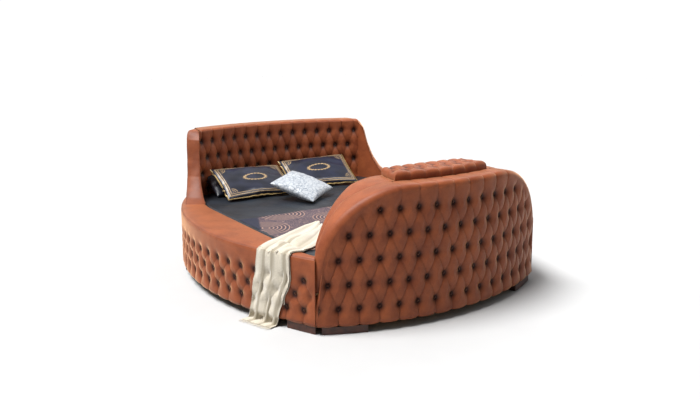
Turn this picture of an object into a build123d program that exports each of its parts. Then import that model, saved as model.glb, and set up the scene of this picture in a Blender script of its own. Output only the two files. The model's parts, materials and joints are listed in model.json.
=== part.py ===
from build123d import *
import math
import os

# Round bed: tufted velvet side panels, a winged concave headboard and a thick
# curved footboard with a raised lid that a two-stage lift column carries up.
# +Z is up, +Y points to the headboard, the origin is on the floor mid-plan.

os.makedirs("parts", exist_ok=True)

# Driving sizes of the whole bed
overall_length = 2568
foot_height = 46
rail_top = 462
footboard_top = 863
headboard_top = 985
mattress_width = 1770
mattress_length = 2000
mattress_thickness = 248
soft_gap = 0.3
side_gap = 2.5
overrun = 400

# Plan curve of a side rail, walked from its widest place
rail_half_width = 1176
rail_widest_y = -27
rail_mid_radius = 1830
rail_mid_reach = 560
rail_front_radius = 3070
rail_rear_radius = 1956
rail_front_walk = 1150
rail_rear_walk = 1300
inner_turn_setback = 864
inner_radius = 1300
inner_sweep = 50
rail_joint_gap = 5

# Footboard plan and outline
foot_face_radius = 1855
foot_end_angle = 29.05
foot_end_thickness = 72
foot_flat_half = 560
foot_inner_y = -889
foot_shoulder_half = 370
foot_shoulder_drop = 533
foot_end_rim = 20

# Headboard plan and wings
head_back_radius = 2050
head_front_radius = 1884
head_panel_radius = 1932
wing_set_in = 34
wing_levels = (440, 462, 500, 560, 640, 757, 860, 913, 950, 985)
wing_inner_setbacks = (684, 674, 619, 549, 484, 434, 404, 387, 349, 299)
wing_outer_setbacks = (629, 616, 524, 454, 391, 333, 300, 283, 251, 209)

# Boards and covers
board = 18
bent_ply = 10
facing_thickness = 40
rail_facing_thickness = 34
lining = 6
cover_lap = 2
rail_pad = 22
rim_pad = 38
head_pad = 24
wing_pad = 24

# Tufting
button_radius = 9
button_height = 7
button_top_radius = 6
seat_half = 10
foot_button_radius = 1819
foot_pitch_angle = 3.85
foot_pitches = 13
foot_row_first = 150
foot_row_pitch = 144
foot_rows = 5
rail_seat_depth = 24
rail_pitch = 126
rail_first_walk = -470
rail_row_first = 133
rail_row_pitch = 90
rail_rows = 3
rail_first_half = -10
rail_last_half = 28
rail_button_last = 26
rail_button_first = -9
head_seat_radius = 1920
head_pitch = 118.2
head_row_first = 491.4
head_row_pitch = 132.2
head_rows = 4
head_last_half = 12
head_margin = 60

# Lid and lift
lid_front_radius = 1705
lid_half_angle = 12.7
lid_rear_y = -893
lid_crown = 919
lid_gap = 9
lid_board = 16
lid_seat_depth = 26
lid_pitches = 7
lid_row_radius = 1555
lid_row_pitch = 78
bay_inset = 20
lift_y = -1072
lift_width = 84
lift_depth = 54
lift_wall = 3
lift_play = 0.3
lift_height = 690
lift_step = 12
lift_base_width = 300
lift_base_depth = 84
lift_plate = 6
lift_motor_height = 110
screen_pitch = 200
screen_hole_radius = 3.2
bracket_plate = 3
bracket_half = 130
bracket_low = 440
bracket_centre = 560
bracket_y = -1010

# Base under the mattress
ledge_width = 34
ledge_height = 44
ledge_rear_y = 930
head_ledge_half = 600
slat_width = 70
slat_thickness = 18
slat_count = 14
slat_middle_gap = 15
beam_width = 60
beam_height = 96
leg_radius = 24
leg_count = 3
joint_plate = 4
joint_plate_reach = 90
joint_plate_low = 66
joint_plate_high = 126
screw_radius = 3
screw_length = 16
screw_head_radius = 6
screw_head_height = 3
screw_inset = 18

# Feet
foot_block_inset = 17
foot_block_depth = 50
foot_block_sweep = 8.5
foot_block_clear = 1
rail_block_walks = ((-1100, -840), (560, 800))
head_block_angle = 14
head_block_half = 150

# Bedding
cover_thickness = 9
runner_thickness = 3
runner_inset = 14
runner_head_y = 32
sham_size = (610, 395, 110)
back_pillow_size = (640, 310, 108)
cushion_size = (405, 390, 116)
throw_thickness = 9
throw_floor_reach = 78
sham_left_place = (-400, 534, 105.5)
sham_right_place = (270, 434, 105.5)
back_pillow_left_place = (-400, 344, 75.5)
back_pillow_right_place = (300, 290, 33.5)
lace_cushion_place = (-130, 849, 91.5)

# Values worked out from the driving sizes
half = 0.5
half_length = overall_length / 2
inner_turn_y = half_length - inner_turn_setback
wing_inner_ys = [half_length - setback for setback in wing_inner_setbacks]
wing_outer_ys = [half_length - setback for setback in wing_outer_setbacks]
foot_arc_y = foot_face_radius - half_length
head_arc_y = half_length - head_back_radius
mattress_half = mattress_width / 2
rail_inner_x = mattress_half + side_gap
inner_centre_x = inner_radius - rail_inner_x
mattress_top = rail_top - rail_pad * half - cover_thickness * half
mattress_bottom = mattress_top - mattress_thickness
slat_bottom = mattress_bottom - slat_thickness
cover_top = mattress_top + cover_thickness
runner_top = cover_top + runner_thickness
rail_frame_top = rail_top - rail_pad
deck_top = footboard_top - rim_pad
foot_seat_depth = foot_face_radius - foot_button_radius
head_frame_top = headboard_top - head_pad
mattress_foot_y = foot_inner_y + side_gap
lid_floor = deck_top + soft_gap
lid_pad_floor = lid_floor + lid_board
lift_floor = foot_height + board
lid_seat = lid_crown - lid_seat_depth


def foot_xy(angle_deg, depth):
    # A point on the footboard's plan, measured in from its outermost curve
    angle = math.radians(angle_deg)
    radius = foot_face_radius - depth
    return (radius * math.sin(angle), foot_arc_y - radius * math.cos(angle))


def head_xy(angle_deg, radius):
    angle = math.radians(angle_deg)
    return (radius * math.sin(angle), head_arc_y + radius * math.cos(angle))


def rail_xy(walk, depth):
    # A point on the left rail's plan: walk is the arc length from the widest
    # place, towards the headboard when positive; depth is measured inwards
    if walk >= 0:
        turn = walk / rail_rear_radius
        centre_x = rail_rear_radius - rail_half_width
        reach = rail_rear_radius - depth
        return (centre_x - reach * math.cos(turn), rail_widest_y + reach * math.sin(turn))
    if walk >= -rail_mid_reach:
        turn = walk / rail_mid_radius
        centre_x = rail_mid_radius - rail_half_width
        reach = rail_mid_radius - depth
        return (centre_x - reach * math.cos(turn), rail_widest_y + reach * math.sin(turn))
    mid_turn = rail_mid_reach / rail_mid_radius
    turn = mid_turn + (-walk - rail_mid_reach) / rail_front_radius
    shift = rail_front_radius - rail_mid_radius
    centre_x = rail_mid_radius - rail_half_width + shift * math.cos(mid_turn)
    centre_y = rail_widest_y + shift * math.sin(mid_turn)
    reach = rail_front_radius - depth
    return (centre_x - reach * math.cos(turn), centre_y - reach * math.sin(turn))


def prism(face, low, high):
    return extrude(Pos(0, 0, low) * face, high - low, dir=(0, 0, 1))


def slab(low_x, high_x, low_y, high_y, low_z, high_z):
    size = (high_x - low_x, high_y - low_y, high_z - low_z)
    middle = ((low_x + high_x) / 2, (low_y + high_y) / 2, (low_z + high_z) / 2)
    return Pos(*middle) * Box(*size)


def across(low_y, high_y, low_z, high_z):
    # The full width of the bed between two stations
    return slab(-overall_length, overall_length, low_y, high_y, low_z, high_z)


def mirrored(shape):
    return mirror(shape, about=Plane.YZ)


def save(name, *shapes):
    pieces = []
    for shape in shapes:
        pieces += list(shape.solids())
    body = pieces[0]
    if len(pieces) > 1:
        body = Compound(children=pieces)
    export_step(body, "parts/" + name + ".step")


def save_pair(name, *shapes):
    save(name + "_left", *shapes)
    save(name + "_right", *[mirrored(shape) for shape in shapes])


def flat_face(points):
    return Face(Wire.make_polygon(points, close=True))


def closed_solid(faces):
    return Part() + Solid(Shell(faces))


# Tufted covers

def tuft_columns(first, last, pitch, margin_low, margin_high):
    # Two lines for each half pitch, one each side of a possible button
    columns = [(margin_low, None)]
    for k in range(first, last + 1):
        columns.append((k * pitch / 2 - seat_half, k))
        columns.append((k * pitch / 2 + seat_half, k))
    columns.append((margin_high, None))
    return columns


def tuft_rows(first, pitch, count, low_edge, high_edge, low_kind, high_kind):
    rows = [(low_edge, 0, low_kind)]
    for r in range(count):
        rows.append((first + r * pitch - seat_half, r, "field"))
        rows.append((first + r * pitch + seat_half, r, "field"))
    rows.append((high_edge, count - 1, high_kind))
    return rows


def tuft_height(k, row, crown, has_button):
    # Nothing at a button, full on a crown, a shallow pleat on a pleated edge
    level, r, kind = row
    edge_share = 0.7
    pleat_share = 0.3
    if kind == "plain" or k is None:
        return crown * edge_share
    if kind == "pleated":
        return crown * (pleat_share if has_button(k, r) else edge_share)
    return 0 if has_button(k, r) else crown


def tufted_solid(columns, rows, crown, has_button, front_point, back_point):
    # A closed faceted cover: the front follows the tufts and the back is one
    # flat strip for each column
    faces = []
    last_column = len(columns) - 1
    last_row = len(rows) - 1
    front = []
    for place, k in columns:
        line = [front_point(place, row[0], tuft_height(k, row, crown, has_button)) for row in rows]
        front.append(line)
    low = [back_point(place, rows[0][0]) for place, k in columns]
    high = [back_point(place, rows[last_row][0]) for place, k in columns]
    for i in range(last_column):
        k = columns[i][1]
        for j in range(last_row):
            a, b, c, d = front[i][j], front[i + 1][j], front[i + 1][j + 1], front[i][j + 1]
            if k is None or has_button(k, rows[j][1]):
                faces += [flat_face([a, b, c]), flat_face([a, c, d])]
            else:
                faces += [flat_face([a, b, d]), flat_face([b, c, d])]
        faces.append(flat_face([low[i], low[i + 1], high[i + 1], high[i]]))
        faces.append(flat_face([low[i], low[i + 1], front[i + 1][0], front[i][0]]))
        faces.append(flat_face([high[i], high[i + 1], front[i + 1][last_row], front[i][last_row]]))
    for i in (0, last_column):
        faces.append(flat_face([low[i]] + front[i] + [high[i]]))
    return closed_solid(faces)


def button_solid():
    # A covered button: a six-sided dome standing on its seat
    base = RegularPolygon(button_radius, 6)
    crown = Pos(0, 0, button_height) * RegularPolygon(button_top_radius, 6)
    return loft([base.face(), crown.face()])


def placed_button(button, origin, outward):
    return Plane(origin=origin, z_dir=outward).location * button


# Plan regions

def foot_inner_points(inset):
    # The footboard's inner outline: flat in the middle, swept to thin ends
    right = foot_xy(foot_end_angle, foot_end_thickness - inset)
    flat_y = foot_inner_y - inset
    return [right, (foot_flat_half, flat_y), (-foot_flat_half, flat_y), (-right[0], right[1])]


def foot_plan(depth, inset):
    left = foot_xy(-foot_end_angle, depth)
    right = foot_xy(foot_end_angle, depth)
    corner, flat_right, flat_left, corner_left = foot_inner_points(inset)
    return make_face([
        ThreePointArc(left, foot_xy(0, depth), right),
        Line(right, corner),
        Line(corner, flat_right),
        Line(flat_right, flat_left),
        Line(flat_left, corner_left),
        Line(corner_left, left),
    ])


def foot_inner_band(near_inset, far_inset):
    near = foot_inner_points(near_inset)
    far = foot_inner_points(far_inset)
    return make_face(Polyline(*near, *reversed(far), near[0]))


def foot_ring(near_depth, far_depth, half_angle):
    outer = [foot_xy(turn * half_angle, near_depth) for turn in (-1, 0, 1)]
    inner = [foot_xy(turn * half_angle, far_depth) for turn in (1, 0, -1)]
    return make_face([
        ThreePointArc(*outer),
        Line(outer[2], inner[0]),
        ThreePointArc(*inner),
        Line(inner[2], outer[0]),
    ])


def foot_outline_reach():
    end_x = foot_face_radius * math.sin(math.radians(foot_end_angle)) + lining
    return end_x - foot_shoulder_half


def foot_profile(drop, end_drop):
    # Front outline of the footboard: level in the middle, then a long quarter
    # ellipse down to each end, on a ledge that carries the rim pad's ends
    top = footboard_top - drop
    reach_x = foot_outline_reach() - end_drop
    reach_z = foot_shoulder_drop - drop
    low_z = footboard_top - foot_shoulder_drop
    flat = foot_shoulder_half
    wide = half_length
    with BuildSketch(Plane.XZ) as outline:
        with BuildLine():
            Line((-flat, top), (flat, top))
            EllipticalCenterArc((flat, low_z), reach_x, reach_z, start_angle=0, arc_size=90)
            EllipticalCenterArc((-flat, low_z), reach_x, reach_z, start_angle=90, arc_size=90)
            Polyline(
                (flat + reach_x, low_z),
                (wide, low_z),
                (wide, -overrun),
                (-wide, -overrun),
                (-wide, low_z),
                (-flat - reach_x, low_z),
            )
        make_face()
    return extrude(outline.sketch, half_length + overrun, dir=(0, -1, 0))


def deck_profile(extra):
    return foot_profile(rim_pad + extra, foot_end_rim + extra)


def rim_level(x):
    # Height of the footboard's frame at a place along it
    past = max(0.0, abs(x) - foot_shoulder_half) / (foot_outline_reach() - foot_end_rim)
    share = math.sqrt(max(0.0, 1 - past * past))
    return footboard_top - foot_shoulder_drop + (foot_shoulder_drop - rim_pad) * share


def joint_cutter(gap):
    # Everything on the footboard's side of the left joint plane
    angle = math.radians(foot_end_angle)
    along = Vector(-math.sin(angle), -math.cos(angle), 0)
    away = Vector(-math.cos(angle), math.sin(angle), 0)
    base = Vector(0, foot_arc_y, 0) + away * gap
    near = base + along * overall_length
    far = base - along * overall_length
    reach = away * -overall_length
    face = make_face(Polyline(near, far, far + reach, near + reach, near))
    return prism(face, -overrun, headboard_top + overrun)


def head_disc(radius):
    tall = headboard_top + overrun
    return Pos(0, head_arc_y, 0) * Cylinder(radius, tall * 2)


def inner_disc(inset):
    # The round inner outline that the wings and the rails' rear ends follow
    tall = headboard_top + overrun
    return Pos(inner_centre_x, inner_turn_y, 0) * Cylinder(inner_radius + inset, tall * 2)


def rail_outer_face(depth):
    walks = (-rail_front_walk, -rail_mid_reach, 0, rail_rear_walk)
    ends = [rail_xy(walk, depth) for walk in walks]
    mids = [rail_xy((walks[n] + walks[n + 1]) / 2, depth) for n in range(3)]
    edges = [ThreePointArc(ends[n], mids[n], ends[n + 1]) for n in range(3)]
    edges += list(Polyline(
        ends[3], (ends[3][0], half_length), (0, half_length),
        (0, -half_length), (ends[0][0], -half_length), ends[0],
    ).edges())
    return make_face(edges)


def rail_inner_face(inset):
    # The mattress side of the left rail: straight, then round to the headboard
    side_x = -rail_inner_x - inset
    radius = inner_radius + inset
    turns = [math.radians(inner_sweep * share) for share in (half, 1)]
    rear = [(inner_centre_x - radius * math.cos(t), inner_turn_y + radius * math.sin(t)) for t in turns]
    tip = foot_xy(-foot_end_angle, foot_end_thickness)
    tip_x = tip[0] - inset
    low_y = -overall_length
    return make_face([
        Line((0, low_y), (tip_x, low_y)),
        Line((tip_x, low_y), (tip_x, tip[1])),
        Line((tip_x, tip[1]), (side_x, foot_inner_y)),
        Line((side_x, foot_inner_y), (side_x, inner_turn_y)),
        ThreePointArc((side_x, inner_turn_y), rear[0], rear[1]),
        Line(rear[1], (0, rear[1][1])),
        Line((0, rear[1][1]), (0, low_y)),
    ])


def rail_trim(shape):
    return (shape - joint_cutter(rail_joint_gap)) & head_disc(head_back_radius)


def rail_band(depth, inset, low, high):
    # The left rail between its outer curve and the mattress side
    outer = prism(rail_outer_face(depth), low, high)
    inner = prism(rail_inner_face(inset), low, high)
    return rail_trim(outer - inner)


# Side rails

def rail_outer_board():
    near = prism(rail_outer_face(rail_facing_thickness), foot_height, rail_frame_top - board)
    far = prism(rail_outer_face(rail_facing_thickness + bent_ply), foot_height, rail_frame_top - board)
    return rail_trim(near - far)


def rail_inner_board():
    near = prism(rail_inner_face(board), foot_height, rail_frame_top - board)
    far = prism(rail_inner_face(0), foot_height, rail_frame_top - board)
    within = prism(rail_outer_face(rail_facing_thickness + bent_ply), foot_height, rail_frame_top)
    return rail_trim((near - far) & within)


def rail_top_board():
    return rail_band(rail_facing_thickness, 0, rail_frame_top - board, rail_frame_top)


def rail_ribs():
    hollow = rail_band(rail_facing_thickness + bent_ply, board, foot_height, rail_frame_top - board)
    ribs = list((hollow & joint_cutter(rail_joint_gap + board)).solids())
    spacing = mattress_length / 6
    for n in range(6):
        y = foot_inner_y + (n + half) * spacing
        ribs += list((hollow & across(y - board / 2, y + board / 2, 0, rail_top)).solids())
    return ribs


def rail_top_cover():
    pad = rail_band(cover_lap, 0, rail_frame_top, rail_top)
    return pad - wing_volume(0, soft_gap)


def rail_has_button(k, r):
    return (k + r) % 2 == 0


def rail_facing():
    margin_low = rail_first_half * rail_pitch / 2 - seat_half * 2
    margin_high = rail_last_half * rail_pitch / 2 + seat_half * 2
    columns = tuft_columns(rail_first_half, rail_last_half, rail_pitch, margin_low, margin_high)
    rows = tuft_rows(
        rail_row_first, rail_row_pitch, rail_rows, foot_height, rail_frame_top, "pleated", "plain"
    )

    def front_point(place, level, height):
        x, y = rail_xy(rail_first_walk + place, rail_seat_depth - height)
        return (x, y, level)

    def back_point(place, level):
        x, y = rail_xy(rail_first_walk + place, rail_facing_thickness - soft_gap)
        return (x, y, level)

    solid = tufted_solid(columns, rows, rail_seat_depth, rail_has_button, front_point, back_point)
    return rail_trim(solid)


def rail_buttons(button):
    pieces = []
    for r in range(rail_rows):
        for k in range(rail_button_first, rail_button_last + 1):
            if rail_has_button(k, r):
                walk = rail_first_walk + k * rail_pitch / 2
                seat = rail_xy(walk, rail_seat_depth)
                outer = rail_xy(walk, 0)
                outward = (outer[0] - seat[0], outer[1] - seat[1], 0)
                place = (seat[0], seat[1], rail_row_first + r * rail_row_pitch)
                pieces.append(placed_button(button, place, outward))
    return pieces


# Headboard wings

def arc_x(radius, centre_x, centre_y, y):
    return centre_x - math.sqrt(radius * radius - (y - centre_y) ** 2)


def wing_front_tool(set_back):
    # All that lies in front of the wing: its leading edge runs slanted from
    # the round inner face to the outer face, and flares forward to the rail
    outer_radius = rail_rear_radius - wing_set_in
    outer_centre = rail_rear_radius - rail_half_width
    lines = []
    for level, inner_y, outer_y in zip(wing_levels, wing_inner_ys, wing_outer_ys):
        inner_x = arc_x(inner_radius, inner_centre_x, inner_turn_y, inner_y)
        outer_x = arc_x(outer_radius, outer_centre, rail_widest_y, outer_y)
        inner = Vector(inner_x, inner_y + set_back, level)
        outer = Vector(outer_x, outer_y + set_back, level)
        step = (outer - inner).normalized()
        lines.append((inner - step * overrun, outer + step * overrun))
    rise = Vector(0, 0, overrun)
    lines = [(lines[0][0] - rise, lines[0][1] - rise)] + lines
    lines.append((lines[-1][0] + rise, lines[-1][1] + rise))
    faces = []
    low_y = -half_length
    wide_x = -overall_length
    corners = []
    for near, far in lines:
        wide = [Vector(wide_x, far.Y, far.Z), Vector(wide_x, low_y, far.Z)]
        corners.append([near, far] + wide + [Vector(near.X, low_y, near.Z)])
    sides = len(corners[0])
    for n in range(len(corners) - 1):
        lower = corners[n]
        upper = corners[n + 1]
        for m in range(sides):
            a, b, c, d = lower[m], lower[(m + 1) % sides], upper[(m + 1) % sides], upper[m]
            faces += [flat_face([a, b, c]), flat_face([a, c, d])]
    faces += [flat_face(corners[0]), flat_face(corners[-1])]
    return closed_solid(faces)


def wing_volume(inset, spare):
    block = rail_band(wing_set_in + inset - spare, inset - spare, rail_frame_top, headboard_top - inset)
    rear = across(inner_turn_y, half_length, 0, headboard_top)
    return (block & rear) - wing_front_tool(inset - spare)


# Headboard

def head_ring(near_radius, far_radius, low, high, clearance):
    ring = (head_disc(far_radius) - head_disc(near_radius)) & across(0, half_length, low, high)
    left = inner_disc(-clearance)
    return ring & left & mirrored(left)


def head_front_panel():
    return head_ring(head_panel_radius, head_panel_radius + board, foot_height, head_frame_top - board, 0)


def head_back_panel():
    return head_ring(head_back_radius - board, head_back_radius, foot_height, head_frame_top - board, 0)


def across_blade(angle):
    blade = slab(-board / 2, board / 2, 0, overall_length, 0, headboard_top)
    return Pos(0, head_arc_y, 0) * Rot(0, 0, -angle) * blade


def head_studs():
    near = head_panel_radius + board
    ring = head_ring(near, head_back_radius - board, foot_height, head_frame_top - board, board)
    step = math.degrees(head_pitch / head_back_radius)
    pieces = []
    for turn in (-5, -3, -1, 1, 3, 5):
        pieces += list((ring & across_blade(turn * step)).solids())
    return pieces


def head_cap():
    return head_ring(head_panel_radius, head_back_radius, head_frame_top - board, head_frame_top, 0)


def head_top_cover():
    return head_ring(head_panel_radius, head_back_radius, head_frame_top, headboard_top, soft_gap)


def head_has_button(k, r):
    return (k + r) % 2 == 0


def head_angle(place):
    return math.degrees(place / head_seat_radius)


def head_facing():
    margin = (head_last_half + 1) * head_pitch / 2 + head_margin
    columns = tuft_columns(-head_last_half - 1, head_last_half + 1, head_pitch, -margin, margin)
    rows = tuft_rows(
        head_row_first, head_row_pitch, head_rows, rail_frame_top, headboard_top, "pleated", "pleated"
    )
    crown = head_seat_radius - head_front_radius

    def front_point(place, level, height):
        x, y = head_xy(head_angle(place), head_seat_radius - height)
        return (x, y, level)

    def back_point(place, level):
        x, y = head_xy(head_angle(place), head_panel_radius - soft_gap * half)
        return (x, y, level)

    solid = tufted_solid(columns, rows, crown, head_has_button, front_point, back_point)
    left = inner_disc(-soft_gap)
    return solid & left & mirrored(left)


def head_buttons(button):
    pieces = []
    for r in range(head_rows):
        for k in range(-head_last_half, head_last_half + 1):
            if head_has_button(k, r):
                angle = head_angle(k * head_pitch / 2)
                x, y = head_xy(angle, head_seat_radius * math.cos(seat_half / head_seat_radius))
                outward = (-math.sin(math.radians(angle)), -math.cos(math.radians(angle)), 0)
                place = (x, y, head_row_first + r * head_row_pitch)
                pieces.append(placed_button(button, place, outward))
    return pieces


# Footboard

def foot_front_panel():
    plan = foot_ring(facing_thickness, facing_thickness + bent_ply, foot_end_angle)
    return prism(plan, foot_height, footboard_top) & deck_profile(0)


def foot_inner_panel():
    plan = foot_inner_band(lining, lining + bent_ply)
    return prism(plan, foot_height, footboard_top) & deck_profile(0)


def foot_inner_cover():
    return prism(foot_inner_band(0, lining), foot_height, footboard_top) & deck_profile(0)


def foot_hollow(low, high):
    plan = foot_plan(facing_thickness + bent_ply, lining + bent_ply)
    return prism(plan, low, high)


def foot_ribs():
    low = foot_height + board
    body = foot_hollow(low, footboard_top) & deck_profile(board)
    near = foot_shoulder_half
    pieces = []
    for place in (near, near + ledge_width * 4, near + ledge_width * 9):
        for side in (-1, 1):
            x = side * place
            blade = slab(x - board / 2, x + board / 2, -half_length, 0, low, footboard_top)
            pieces += list((body & blade).solids())
    return pieces


def lid_plan(grow):
    # The lid: a bowed front edge, radial ends and a straight rear edge
    radius = lid_front_radius + grow
    angle = lid_half_angle + math.degrees(grow / lid_front_radius)
    rear_y = lid_rear_y + grow
    rear_x = (foot_arc_y - rear_y) * math.tan(math.radians(angle))
    front = [foot_xy(turn * angle, foot_face_radius - radius) for turn in (-1, 0, 1)]
    return make_face([
        ThreePointArc(*front),
        Line(front[2], (rear_x, rear_y)),
        Line((rear_x, rear_y), (-rear_x, rear_y)),
        Line((-rear_x, rear_y), front[0]),
    ])


def foot_deck():
    body = foot_hollow(foot_height, footboard_top) & deck_profile(0)
    shell = body - deck_profile(board)
    return shell - prism(lid_plan(-bay_inset), 0, footboard_top)


def foot_rim():
    body = prism(foot_plan(cover_lap, 0), foot_height, footboard_top) & foot_profile(0, 0)
    rim = body - deck_profile(0)
    return rim - prism(lid_plan(lid_gap), 0, footboard_top + overrun)


def foot_has_button(k, r):
    return (k + r + foot_pitches) % 2 == 0


def foot_facing():
    pitch = math.radians(foot_pitch_angle) * foot_button_radius
    end_place = math.radians(foot_end_angle) * foot_button_radius
    columns = tuft_columns(-foot_pitches - 1, foot_pitches + 1, pitch, -end_place, end_place)
    rows = tuft_rows(
        foot_row_first, foot_row_pitch, foot_rows, foot_height, deck_top, "pleated", "pleated"
    )

    def front_point(place, level, height):
        x, y = foot_xy(math.degrees(place / foot_button_radius), foot_seat_depth - height)
        return (x, y, level)

    def back_point(place, level):
        x, y = foot_xy(math.degrees(place / foot_button_radius), facing_thickness - soft_gap)
        return (x, y, level)

    solid = tufted_solid(columns, rows, foot_seat_depth, foot_has_button, front_point, back_point)
    return solid & deck_profile(soft_gap)


def foot_buttons(button):
    pieces = []
    for r in range(foot_rows):
        level = foot_row_first + r * foot_row_pitch
        for k in range(-foot_pitches - 1, foot_pitches + 2):
            angle = k * foot_pitch_angle / 2
            x, y = foot_xy(angle, foot_seat_depth)
            room = rim_level(abs(x) + seat_half) - level
            if foot_has_button(k, r) and room > seat_half * 3:
                outward = (math.sin(math.radians(angle)), -math.cos(math.radians(angle)), 0)
                pieces.append(placed_button(button, (x, y, level), outward))
    return pieces


# Lid and lift

def lid_has_button(k, r):
    return (k + r) % 2 == 0


def lid_cushion():
    pitch = 2 * lid_half_angle / lid_pitches
    spread = math.degrees(seat_half / lid_front_radius)
    columns = [(-lid_half_angle, None)]
    for k in range(1 - lid_pitches, lid_pitches):
        columns.append((k * pitch / 2 - spread, k))
        columns.append((k * pitch / 2 + spread, k))
    columns.append((lid_half_angle, None))
    rows = tuft_rows(lid_row_radius, lid_row_pitch, 2, 0, lid_front_radius, "pleated", "pleated")

    def lid_point(place, radius, level):
        reach = radius
        if radius == 0:
            reach = (foot_arc_y - lid_rear_y) / math.cos(math.radians(place))
        x, y = foot_xy(place, foot_face_radius - reach)
        return (x, y, level)

    def front_point(place, radius, height):
        return lid_point(place, radius, lid_seat + height)

    def back_point(place, radius):
        return lid_point(place, radius, lid_pad_floor)

    return tufted_solid(columns, rows, lid_seat_depth, lid_has_button, front_point, back_point)


def lid_buttons(button):
    pitch = 2 * lid_half_angle / lid_pitches
    pieces = []
    for r in range(2):
        radius = lid_row_radius + r * lid_row_pitch
        for k in range(1 - lid_pitches, lid_pitches):
            if lid_has_button(k, r):
                x, y = foot_xy(k * pitch / 2, foot_face_radius - radius)
                pieces.append(placed_button(button, (x, y, lid_seat), (0, 0, 1)))
    return pieces


def lift_tube(stage, low, high):
    shrink = stage * 2 * (lift_wall + lift_play)
    width = lift_width - shrink
    depth = lift_depth - shrink
    tube = RectangleRounded(width, depth, lift_wall * 2)
    hole = RectangleRounded(width - 2 * lift_wall, depth - 2 * lift_wall, lift_wall)
    return prism(Pos(0, lift_y) * (tube - hole), low, high)


def lift_base():
    near_y = lift_y - lift_base_depth / 2
    return slab(
        -lift_base_width / 2, lift_base_width / 2, near_y, near_y + lift_base_depth,
        lift_floor, lift_floor + lift_plate,
    )


def lift_motor():
    low = lift_floor + lift_plate
    near_x = lift_width / 2
    near_y = lift_y - lift_depth / 2
    motor = slab(near_x, near_x + lift_width, near_y, near_y + lift_depth, low, low + lift_motor_height)
    return fillet(motor.edges().filter_by(Axis.Z), lining)


def lift_head_and_bracket():
    # Head plate under the lid with an upright plate and its screen holes
    high = lid_floor
    low = high - lift_plate
    head = slab(-lift_base_width / 2, lift_base_width / 2, lift_y - lift_depth / 2, bracket_y, low, high)
    plate = slab(-bracket_half, bracket_half, bracket_y - bracket_plate, bracket_y, bracket_low, low)
    drill = Rot(90, 0, 0) * Cylinder(screen_hole_radius, bracket_plate * 4)
    for side_x in (-half, half):
        for side_z in (-half, half):
            place = Pos(side_x * screen_pitch, bracket_y, bracket_centre + side_z * screen_pitch)
            plate = plate - place * drill
    return head + plate


# Feet

def footboard_feet():
    near_angle = foot_end_angle - foot_block_clear
    far_depth = foot_block_inset + foot_block_depth
    ring = foot_ring(foot_block_inset, far_depth, near_angle)
    cut = foot_ring(0, far_depth * 2, near_angle - foot_block_sweep)
    return prism(ring - cut, 0, foot_height)


def rail_feet():
    far_depth = foot_block_inset + foot_block_depth
    near = prism(rail_outer_face(foot_block_inset), 0, foot_height)
    far = prism(rail_outer_face(far_depth), 0, foot_height)
    band = rail_trim(near - far)
    pieces = []
    for start, stop in rail_block_walks:
        low_y = rail_xy(start, 0)[1]
        high_y = rail_xy(stop, 0)[1]
        pieces += list((band & across(low_y, high_y, 0, foot_height)).solids())
    return pieces


def headboard_feet():
    ring = head_ring(head_panel_radius, head_back_radius, 0, foot_height, board)
    pieces = []
    for side in (-1, 1):
        blade = slab(-head_block_half, head_block_half, 0, overall_length, 0, foot_height)
        turned = Pos(0, head_arc_y, 0) * Rot(0, 0, side * head_block_angle) * blade
        pieces += list((ring & turned).solids())
    return pieces


# Base under the mattress

def side_ledge():
    low = slat_bottom - ledge_height
    outer = prism(rail_inner_face(0), low, slat_bottom)
    inner = prism(rail_inner_face(-ledge_width), low, slat_bottom)
    return (outer - inner) & slab(-half_length, 0, foot_inner_y + ledge_width * 2, ledge_rear_y, low, slat_bottom)


def end_ledges():
    low = slat_bottom - ledge_height
    near = foot_inner_y
    front = slab(-foot_flat_half, foot_flat_half, near, near + ledge_width, low, slat_bottom)
    ring = head_ring(head_panel_radius - ledge_width, head_panel_radius, low, slat_bottom, board)
    rear = ring & slab(-head_ledge_half, head_ledge_half, 0, half_length, low, slat_bottom)
    return list(front.solids()) + list(rear.solids())


def centre_beam():
    near = foot_inner_y + ledge_width
    beam = slab(-beam_width / 2, beam_width / 2, near, half_length, slat_bottom - beam_height, slat_bottom)
    return beam & head_disc(head_panel_radius - ledge_width)


def centre_legs():
    high = slat_bottom - beam_height
    pieces = []
    for n in range(leg_count):
        y = foot_inner_y + (n + 1) * mattress_length / (leg_count + 1)
        pieces.append(Pos(0, y, high / 2) * Cylinder(leg_radius, high))
    return pieces


def mattress_block(inset, low, high):
    # Straight sides, then round towards the headboard's concave face
    side_x = mattress_half - inset
    left = inner_disc(-side_gap - inset)
    front = slab(-side_x, side_x, mattress_foot_y + inset, inner_turn_y, low, high)
    rear = across(inner_turn_y, half_length, low, high) & left & mirrored(left)
    return (front + rear) & head_disc(head_front_radius - side_gap - inset)


def slats():
    zone = mattress_block(board, slat_bottom, mattress_bottom)
    middle = slab(-slat_middle_gap, slat_middle_gap, -half_length, half_length, 0, rail_top)
    first = mattress_foot_y + slat_width
    last = head_arc_y + head_front_radius - slat_width * 3
    step = (last - first) / (slat_count - 1)
    pieces = []
    for n in range(slat_count):
        near = first + n * step - slat_width / 2
        strip = (zone & across(near, near + slat_width, slat_bottom, mattress_bottom)) - middle
        pieces += list(strip.solids())
    return pieces


def crossing(first, first_way, second, second_way):
    # Where two plan lines meet
    spread = first_way[0] * second_way[1] - first_way[1] * second_way[0]
    gap_x = second[0] - first[0]
    gap_y = second[1] - first[1]
    reach = (gap_x * second_way[1] - gap_y * second_way[0]) / spread
    return (first[0] + first_way[0] * reach, first[1] + first_way[1] * reach)


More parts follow.
